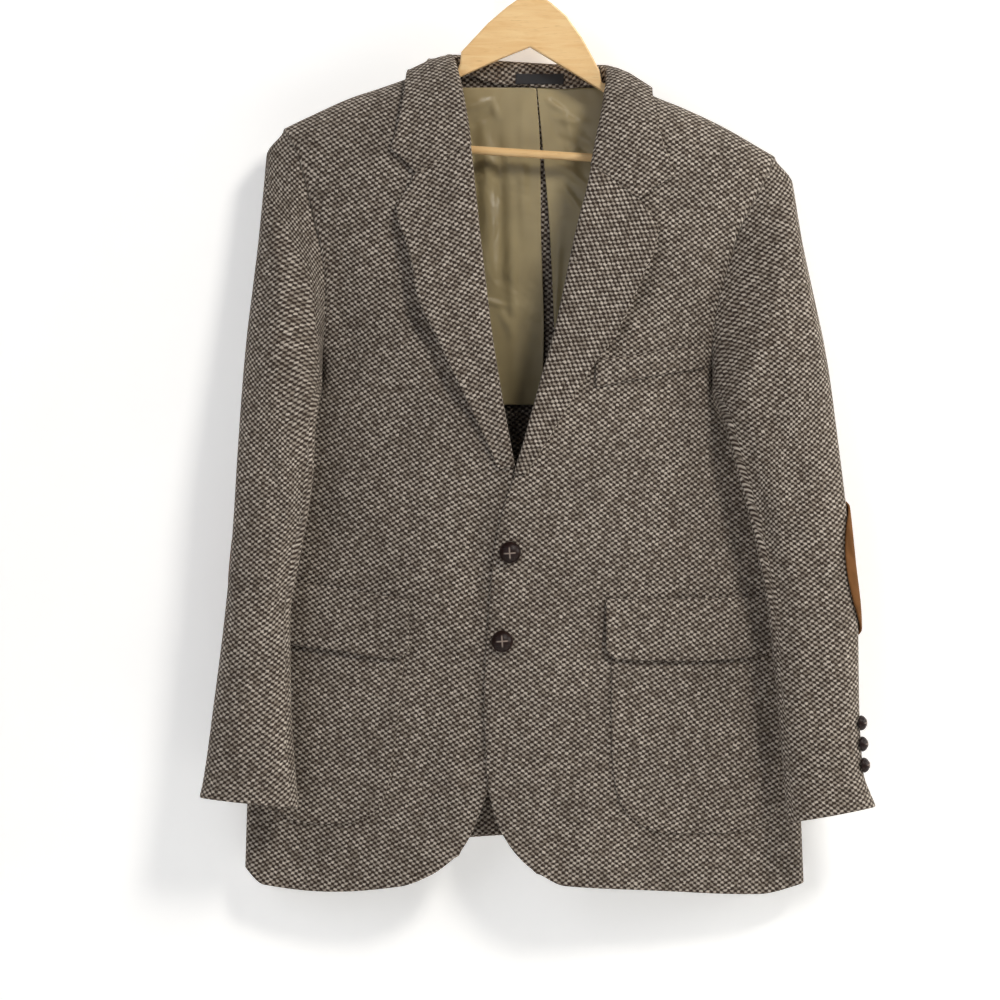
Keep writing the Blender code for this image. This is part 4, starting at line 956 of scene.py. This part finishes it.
def strip_grids(side, rows, out, stand=0.0):
    """A piece given as top and bottom by its place across, laid on the front. Its lower edge may stand
    off the cloth under it."""
    places = rows["x"]
    x = mix(places[0], places[-1], even(places[-1] - places[0], CLOTH_STEP))[None, :]
    drop = mix(read(rows, "top", x), read(rows, "bottom", x), even(FLAP_HIGH, CLOTH_STEP)[:, None])
    grids = [skin(FRONT, side, x, drop, out + wall) for wall in (THIN_WALL, 0.0)]
    drop = grids[0][..., 2]
    low = drop.min(0, keepdims=True)
    away = stand * soft((drop - low) / (drop.max(0, keepdims=True) - low))
    return [grid - np.stack([0 * away, away, 0 * away], -1) for grid in grids]


def make_pockets():
    for word, side in SIDES:
        pocket = laid_grids(side, HIP_POCKET[side], LAID_GAP)
        sew("hip_pocket_" + word, pocket)
        flap = strip_grids(side, HIP_FLAP[side], LAID_GAP * 2 + THIN_WALL, FLAP_STAND)
        sew("hip_flap_" + word, flap)
    sew("breast_welt", strip_grids(RIGHT, WELT, WELT_GAP))


def make_lining():
    for word, side in SIDES:
        row = even(LINING_HEM - LINING_TOP, LINING_STEP)[:, None]
        step = even(LINING_WIDTH, LINING_STEP)[None, :]
        x = mix(read(PLEAT, word, mix(LINING_TOP, LINING_HEM, row)), side * LINING_SIDE, step)
        top = np.maximum(LINING_TOP, read(RIDGE, "drop", x) + LINING_UNDER_RIDGE)
        drop = mix(top, LINING_HEM, row)
        wave = LINING_WAVE * np.sin(step * LINING_WAVE_ACROSS + row * LINING_WAVE_DOWN) ** 2
        loose = read(PLEAT, "loose", drop) + wave + ridges(LINING_CREASES, x, drop)
        out = -WALL - LAID_GAP - loose - LINING_WALL
        grids = [skin(BACK, side, x, drop, out + wall) for wall in (0.0, LINING_WALL)]
        sew("lining_" + word, grids, "satin")


def make_label():
    """Plain tape on the inner face of the collar stand, behind the neck."""
    rows = [row for row in zip(*COLLAR.values()) if row[0] == BACK]
    inside = [skin(BACK, row[1], row[2], row[3])[1] - row[7] * (WALL * 2 + COLLAR_GAP) for row in rows]
    x = np.linspace(LABEL_LEFT, LABEL_RIGHT, LABEL_COLUMNS)[None, :]
    drop = np.linspace(LABEL_TOP, LABEL_BOTTOM, LABEL_ROWS)[:, None]
    x, drop = np.broadcast_arrays(x, drop)
    y = np.interp(x, [row[2] for row in rows], inside)
    grids = [np.stack([x, y - out, drop], -1) for out in (LAID_GAP + LABEL_WALL, LAID_GAP)]
    sew("collar_label", grids, "tape")


def tweed():
    """Barleycorn tweed, woven from woollen yarn: round pale pips on dark brown in staggered rows, a dry
    hairy face with a faint sheen at a glancing angle. Pips stand 6.75 mm apart across and 5.1 mm down."""
    made, tree, flat = new_material(
        "barleycorn_tweed",
        Roughness=0.92,
        Specular_IOR_Level=0.2,
        Sheen_Weight=0.2,
        Sheen_Roughness=0.55,
        Sheen_Tint=paint("#CFC4B6"),
    )
    # Woollen yarn is uneven, so the pips wander about their places and differ in size and tone.
    wander = node(tree, "TexNoise", {"Vector": flat, "Scale": 260.0, "Detail": 2.0})[1]
    wander = node(tree, "VectorMath", (wander, (0.5, 0.5, 0.5)), operation="SUBTRACT")[0]
    wander = node(tree, "VectorMath", {0: wander, "Scale": PIP_WANDER}, operation="SCALE")[0]
    place = node(tree, "VectorMath", (flat, wander), operation="ADD")[0]
    place = node(tree, "VectorMath", (place, (PIP_ACROSS, PIP_DOWN, 1.0)), operation="DIVIDE")[0]
    angle = node(tree, "VectorMath", {0: place, "Scale": math.tau}, operation="SCALE")[0]
    waves = node(tree, "SeparateXYZ", (node(tree, "VectorMath", (angle,), operation="COSINE")[0],))
    wave = node(tree, "Math", (waves[0], waves[1]), operation="MULTIPLY")[0]
    hair = node(tree, "TexNoise", {"Vector": flat, "Scale": 700.0, "Detail": 3.0, "Roughness": 0.7})[0]
    slub = node(tree, "TexNoise", {"Vector": flat, "Scale": 150.0, "Detail": 1.0})[0]
    rough = node(tree, "Math", (hair, 2.2, wave), operation="MULTIPLY_ADD")[0]
    rough = node(tree, "Math", (slub, 0.6, rough), operation="MULTIPLY_ADD")[0]
    pip = node(tree, "MapRange", (rough, 0.95, 2.25), interpolation_type="SMOOTHSTEP")[0]
    # Each pip has a tone of its own, by its number on the two diagonals.
    split = node(tree, "SeparateXYZ", (place,))
    cell = []
    for operation in ("ADD", "SUBTRACT"):
        diagonal = node(tree, "Math", (split[0], split[1]), operation=operation)[0]
        cell.append(node(tree, "Math", (diagonal,), operation="ROUND")[0])
    cell = node(tree, "CombineXYZ", cell)[0]
    chance = node(tree, "TexWhiteNoise", {"Vector": cell}, noise_dimensions="2D")[0]
    tone = node(tree, "Mix", {0: chance, 6: paint("#988D80"), 7: paint("#D6CBBE")}, data_type="RGBA")[2]
    ground, _ = mottle(tree, flat, "#140E0B #4B3C33", 420.0, 2.0)
    colour = node(tree, "Mix", {0: pip, 6: ground, 7: tone}, data_type="RGBA")[2]
    cloud = node(tree, "TexNoise", {"Vector": flat, "Scale": 14.0, "Detail": 4.0})[0]
    cloud = node(tree, "MapRange", (cloud, 0.3, 0.7, 0.88, 1.12))[0]
    shaded = {0: 1.0, 6: colour, 7: cloud}
    colour = node(tree, "Mix", shaded, data_type="RGBA", blend_type="MULTIPLY")[2]
    height = node(tree, "Math", (hair, 1.6, wave), operation="MULTIPLY_ADD")[0]
    return join(made, colour, height, 0.9, 0.0006)


def satin():
    """Viscose lining satin: filament yarn in a dense smooth weave, so light runs down its folds."""
    made, tree, flat = new_material(
        "viscose_satin",
        Roughness=0.3,
        Specular_IOR_Level=0.65,
        Sheen_Weight=0.3,
        Sheen_Roughness=0.3,
        Sheen_Tint=paint("#E8DFBE"),
    )
    colour, _ = mottle(tree, flat, "#8D7E5B #C2B186", 16.0, 2.0)
    # The weave's ribs are 0.3 mm in cloth like this; 0.9 mm is the finest that shows.
    split = node(tree, "SeparateXYZ", (flat,))
    line = node(tree, "Math", (split[1], 0.5, split[0]), operation="MULTIPLY_ADD")[0]
    line = node(tree, "Math", (line, math.tau / SATIN_RIB), operation="MULTIPLY")[0]
    rib = node(tree, "Math", (line,), operation="SINE")[0]
    crush = node(tree, "TexNoise", {"Vector": flat, "Scale": 13.0, "Detail": 3.0, "Distortion": 0.5})[0]
    height = node(tree, "Math", (rib, 0.006, crush), operation="MULTIPLY_ADD")[0]
    return join(made, colour, height, 0.9, 0.012)


def suede():
    """Sueded split leather: a short brushed nap, matt, with paler strokes where it was rubbed."""
    made, tree, flat = new_material(
        "brown_suede",
        Roughness=0.96,
        Specular_IOR_Level=0.15,
        Sheen_Weight=0.35,
        Sheen_Roughness=0.4,
        Sheen_Tint=paint("#B89268"),
    )
    colour, _ = mottle(tree, flat, "#5F3E20 #7A5230", 45.0, 4.0, 0.6, 0.3, 0.7)
    nap = node(tree, "TexNoise", {"Vector": flat, "Scale": 1900.0, "Detail": 2.0})[0]
    return join(made, colour, nap, 0.5, 0.0004)


def tape():
    """Woven polyester label tape, plain: fine cross ribs with a slight gloss."""
    made, tree, flat = new_material("woven_label_tape", Roughness=0.55, Sheen_Weight=0.1)
    line = node(tree, "SeparateXYZ", (flat,))[1]
    line = node(tree, "Math", (line, math.tau / TAPE_RIB), operation="MULTIPLY")[0]
    rib = node(tree, "Math", (line,), operation="SINE")[0]
    share = node(tree, "MapRange", (rib, -1.0, 1.0))[0]
    colour = node(tree, "Mix", {0: share, 6: paint("#131316"), 7: paint("#24242A")}, data_type="RGBA")[2]
    return join(made, colour, rib, 0.4, 0.0002)


def beech():
    """Steamed beech under clear lacquer: straight warm grain along the wood with short dark flecks."""
    made, tree, place = new_material(
        "lacquered_beech", solid=True, Roughness=0.34, Coat_Weight=0.25, Coat_Roughness=0.2
    )
    drawn = node(tree, "Mapping", {"Vector": place, "Scale": (7.0, 60.0, 60.0)})[0]
    colour, grain = mottle(tree, drawn, "#FFDBA2 #F2C486", 3.0, 5.0, 0.8, 0.3, 0.72)
    drawn = node(tree, "Mapping", {"Vector": place, "Scale": (60.0, 900.0, 900.0)})[0]
    fleck = node(tree, "TexNoise", {"Vector": drawn, "Scale": 1.6, "Detail": 2.0})[0]
    share = node(tree, "MapRange", (fleck, 0.62, 0.74, 0.0, 0.3))[0]
    colour = node(tree, "Mix", {0: share, 6: colour, 7: paint("#B0773C")}, data_type="RGBA")[2]
    return join(made, colour, grain, 0.12, 0.0006)


def wire():
    """Bright zinc-plated steel wire, drawn and bent: a clean metal with faint draw lines."""
    made, tree, place = new_material("plated_wire", solid=True, Metallic=1.0, Roughness=0.25)
    colour, scratch = mottle(tree, place, "#C9CACB #E3E2DE", 400.0, 3.0)
    share = node(tree, "MapRange", (scratch, 0.0, 1.0, 0.18, 0.36))[0]
    tree.links.new(share, tree.nodes["Principled BSDF"].inputs["Roughness"])
    return join(made, colour)


def button_leather():
    """Woven leather for buttons: dark brown waxed calf strips, with a pale worn cross where they meet."""
    made, tree, place = new_material(
        "woven_button_leather", solid=True, Roughness=0.4, Specular_IOR_Level=0.28
    )
    colour, _ = mottle(tree, place, "#0E0403 #28100A", 220.0, 3.0)
    top = node(tree, "SeparateXYZ", (node(tree, "UVMap", (), uv_map="flat")[0],))
    sides = [node(tree, "Math", (top[number],), operation="ABSOLUTE")[0] for number in (0, 1)]
    wear = []
    for operation, start, end in (("MINIMUM", 0.03, 0.09), ("MAXIMUM", 0.42, 0.6)):
        off = node(tree, "Math", sides, operation=operation)[0]
        wear.append(node(tree, "MapRange", (off, start, end, 1.0, 0.0))[0])
    worn = node(tree, "Math", wear, operation="MULTIPLY")[0]
    colour = node(tree, "Mix", {0: worn, 6: colour, 7: paint("#94857B")}, data_type="RGBA")[2]
    crease = node(tree, "TexVoronoi", {"Vector": place, "Scale": 1400.0})[0]
    return join(made, colour, crease, 0.3, 0.0002)


def clear_selection():
    if bpy.context.object and bpy.context.object.mode != "OBJECT":
        bpy.ops.object.mode_set(mode="OBJECT")
    bpy.ops.object.select_all(action="DESELECT")


def dome(radius, high, along=None):
    """A flattened ball cut off below, or the strip over its top whose sides face the given way."""
    clear_selection()
    bpy.ops.mesh.primitive_uv_sphere_add(segments=40, ring_count=20, radius=radius)
    bpy.ops.object.mode_set(mode="EDIT")
    bpy.ops.mesh.select_all(action="SELECT")
    bpy.ops.transform.resize(value=(1.0, 1.0, high / radius))
    cuts = [((0.0, 0.0, 0.0), (0.0, 0.0, -1.0))]
    if along:
        for way in (along, -along):
            cuts.append((way * radius * STRIP_HALF, way))
    for place, out in cuts:
        bpy.ops.mesh.select_all(action="SELECT")
        bpy.ops.mesh.bisect(plane_co=place, plane_no=out, use_fill=True, clear_outer=True)
    bpy.ops.object.mode_set(mode="OBJECT")
    made = bpy.context.object
    rounded = made.modifiers.new("rounded", "BEVEL")
    rounded.width = radius * STRIP_ROUNDING
    rounded.segments = 3
    rounded.limit_method = "ANGLE"
    rounded.angle_limit = math.radians(CORNER_ANGLE)
    bpy.ops.object.modifier_apply(modifier="rounded")
    return made


def shape_button(radius, high, shank):
    """A woven leather button that faces up: a low dome, two broad strips crossed over it, its shank."""
    parts = [
        dome(radius, high * DOME_HIGH),
        dome(radius, high * UNDER_STRIP_HIGH, Vector((1.0, 0.0, 0.0))),
        dome(radius, high, Vector((0.0, 1.0, 0.0))),
    ]
    clear_selection()
    bpy.ops.mesh.primitive_cylinder_add(
        vertices=20, radius=radius * SHANK_SHARE, depth=shank, location=(0, 0, -shank / 2)
    )
    bpy.ops.object.transform_apply(location=True, rotation=False, scale=False)
    for part in parts:
        part.select_set(True)
    bpy.context.view_layer.objects.active = parts[0]
    bpy.ops.object.join()
    bpy.ops.object.shade_smooth_by_angle(angle=math.radians(SMOOTH_ANGLE))
    made = bpy.context.object
    for layer in list(made.data.uv_layers):
        made.data.uv_layers.remove(layer)
    layer = made.data.uv_layers.new(name="flat")
    for loop in made.data.loops:
        x, y, _ = made.data.vertices[loop.vertex_index].co
        layer.data[loop.index].uv = (x / radius, y / radius)
    made.data.materials.clear()
    made.data.materials.append(FINISH["leather"])
    return made


def sew_button(form, name, facing, at, shank):
    """A copy of a button, put on the cloth with its shank's foot at the given draft point."""
    facing = unit(np.asarray(facing, float)) * (1.0, 1.0, -1.0)
    across = unit(np.cross(np.array([0.0, 0.0, 1.0]), facing))
    up = np.cross(facing, across)
    sine, cosine = math.sin(math.radians(BUTTON_TURN)), math.cos(math.radians(BUTTON_TURN))
    across, up = across * cosine + up * sine, up * cosine - across * sine
    foot = world(np.asarray(at, float)) + facing * shank
    place = Matrix([*np.stack([across, up, facing, foot], 1).tolist(), (0.0, 0.0, 0.0, 1.0)])
    mesh = form.data.copy()
    mesh.transform(place)
    piece = bpy.data.objects.new(name + "_leather", mesh)
    bpy.context.scene.collection.objects.link(piece)
    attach(piece, "root")
    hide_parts(name)


def make_buttons():
    shank = BUTTON_SHANK * MM
    form = shape_button(FRONT_BUTTON_RADIUS * MM, FRONT_BUTTON_HIGH * MM, shank)
    for number, (x, drop) in enumerate(FRONT_BUTTONS, 1):
        facing = body_normal(FRONT, RIGHT, x, drop)
        sew_button(form, f"front_button_{number}", facing, skin(FRONT, RIGHT, x, drop), shank)
    bpy.data.objects.remove(form)
    form = shape_button(CUFF_BUTTON_RADIUS * MM, CUFF_BUTTON_HIGH * MM, shank)
    for word, side in SIDES:
        angle = CUFF_BUTTON_ANGLE[side]
        for number, drop in enumerate(CUFF_BUTTONS, 1):
            along = along_sleeve(side, angle, drop)
            facing, at = sleeve_normal(side, angle, along), sleeve_skin(side, angle, along)
            sew_button(form, f"cuff_button_{word}_{number}", facing, at, shank)
    bpy.data.objects.remove(form)


def make_hanger_finish():
    """The hanger's own solids have their true shape, so they stay and get their real finish."""
    for name, finish in (("hanger", "beech"), ("trouser_bar", "beech"), ("hook", "wire")):
        for slot in frame["nodes"][name].material_slots:
            slot.material = FINISH[finish]


def make_room():
    """A white wall close behind the jacket and a pale floor well below it."""
    clear_selection()
    bpy.ops.mesh.primitive_plane_add(size=ROOM_WIDE, location=WALL_AT, rotation=(math.pi / 2, 0, 0))
    wall = bpy.context.object
    wall.name = "wall"
    bpy.ops.mesh.primitive_plane_add(size=ROOM_WIDE, location=FLOOR_AT)
    floor = bpy.context.object
    floor.name = "floor"
    made, tree, _ = new_material("matt_white_paint", Base_Color=paint("#FBFBFA"), Roughness=0.9)
    floor.data.materials.append(made)
    # The wall glows faintly, as one lit from beyond the picture does; from behind it is clear.
    made, tree, _ = new_material(
        "white_wall",
        Base_Color=paint("#FBFBFA"),
        Roughness=0.9,
        Emission_Color=paint("#FFFFFF"),
        Emission_Strength=WALL_GLOW,
    )
    clear = node(tree, "BsdfTransparent", ())[0]
    behind = node(tree, "NewGeometry", ())["Backfacing"]
    both = node(tree, "MixShader", (behind, tree.nodes["Principled BSDF"].outputs[0], clear))[0]
    tree.links.new(both, tree.nodes["Material Output"].inputs["Surface"])
    wall.data.materials.append(made)


def make_view():
    """A camera far enough off to flatten the jacket as a catalogue picture does, and studio light."""
    lens = bpy.data.cameras.new("view")
    lens.lens = lens.sensor_width * VIEW_AWAY / VIEW_WIDE
    camera = bpy.data.objects.new("view", lens)
    camera.location = Vector(VIEW_CENTRE) - Vector((0.0, VIEW_AWAY, 0.0))
    camera.rotation_euler = (math.pi / 2, 0.0, 0.0)
    bpy.context.scene.collection.objects.link(camera)
    bpy.context.scene.camera = camera
    bpy.context.scene.view_settings.view_transform = "Standard"
    studio = bpy.data.worlds.new("studio")
    bpy.context.scene.world = studio
    studio.use_nodes = True
    sky = studio.node_tree.nodes["Background"]
    sky.inputs[0].default_value = paint("#FFFFFF")
    sky.inputs[1].default_value = SKY_STRENGTH
    for name, place, size, watts, colour in LIGHTS:
        lamp = bpy.data.lights.new(name, "AREA")
        lamp.size = size
        lamp.energy = watts
        lamp.color = paint(colour)[:3]
        made = bpy.data.objects.new(name, lamp)
        made.location = place
        made.rotation_euler = (Vector(VIEW_CENTRE) - Vector(place)).to_track_quat("-Z", "Y").to_euler()
        bpy.context.scene.collection.objects.link(made)


FINISH = {
    "cloth": tweed(),
    "satin": satin(),
    "suede": suede(),
    "tape": tape(),
    "beech": beech(),
    "wire": wire(),
    "leather": button_leather(),
}

make_view()
make_room()
make_body()
make_sleeves()
make_elbow_patches()
make_lapels()
make_collar()
make_pockets()
make_lining()
make_label()
make_buttons()
make_hanger_finish()
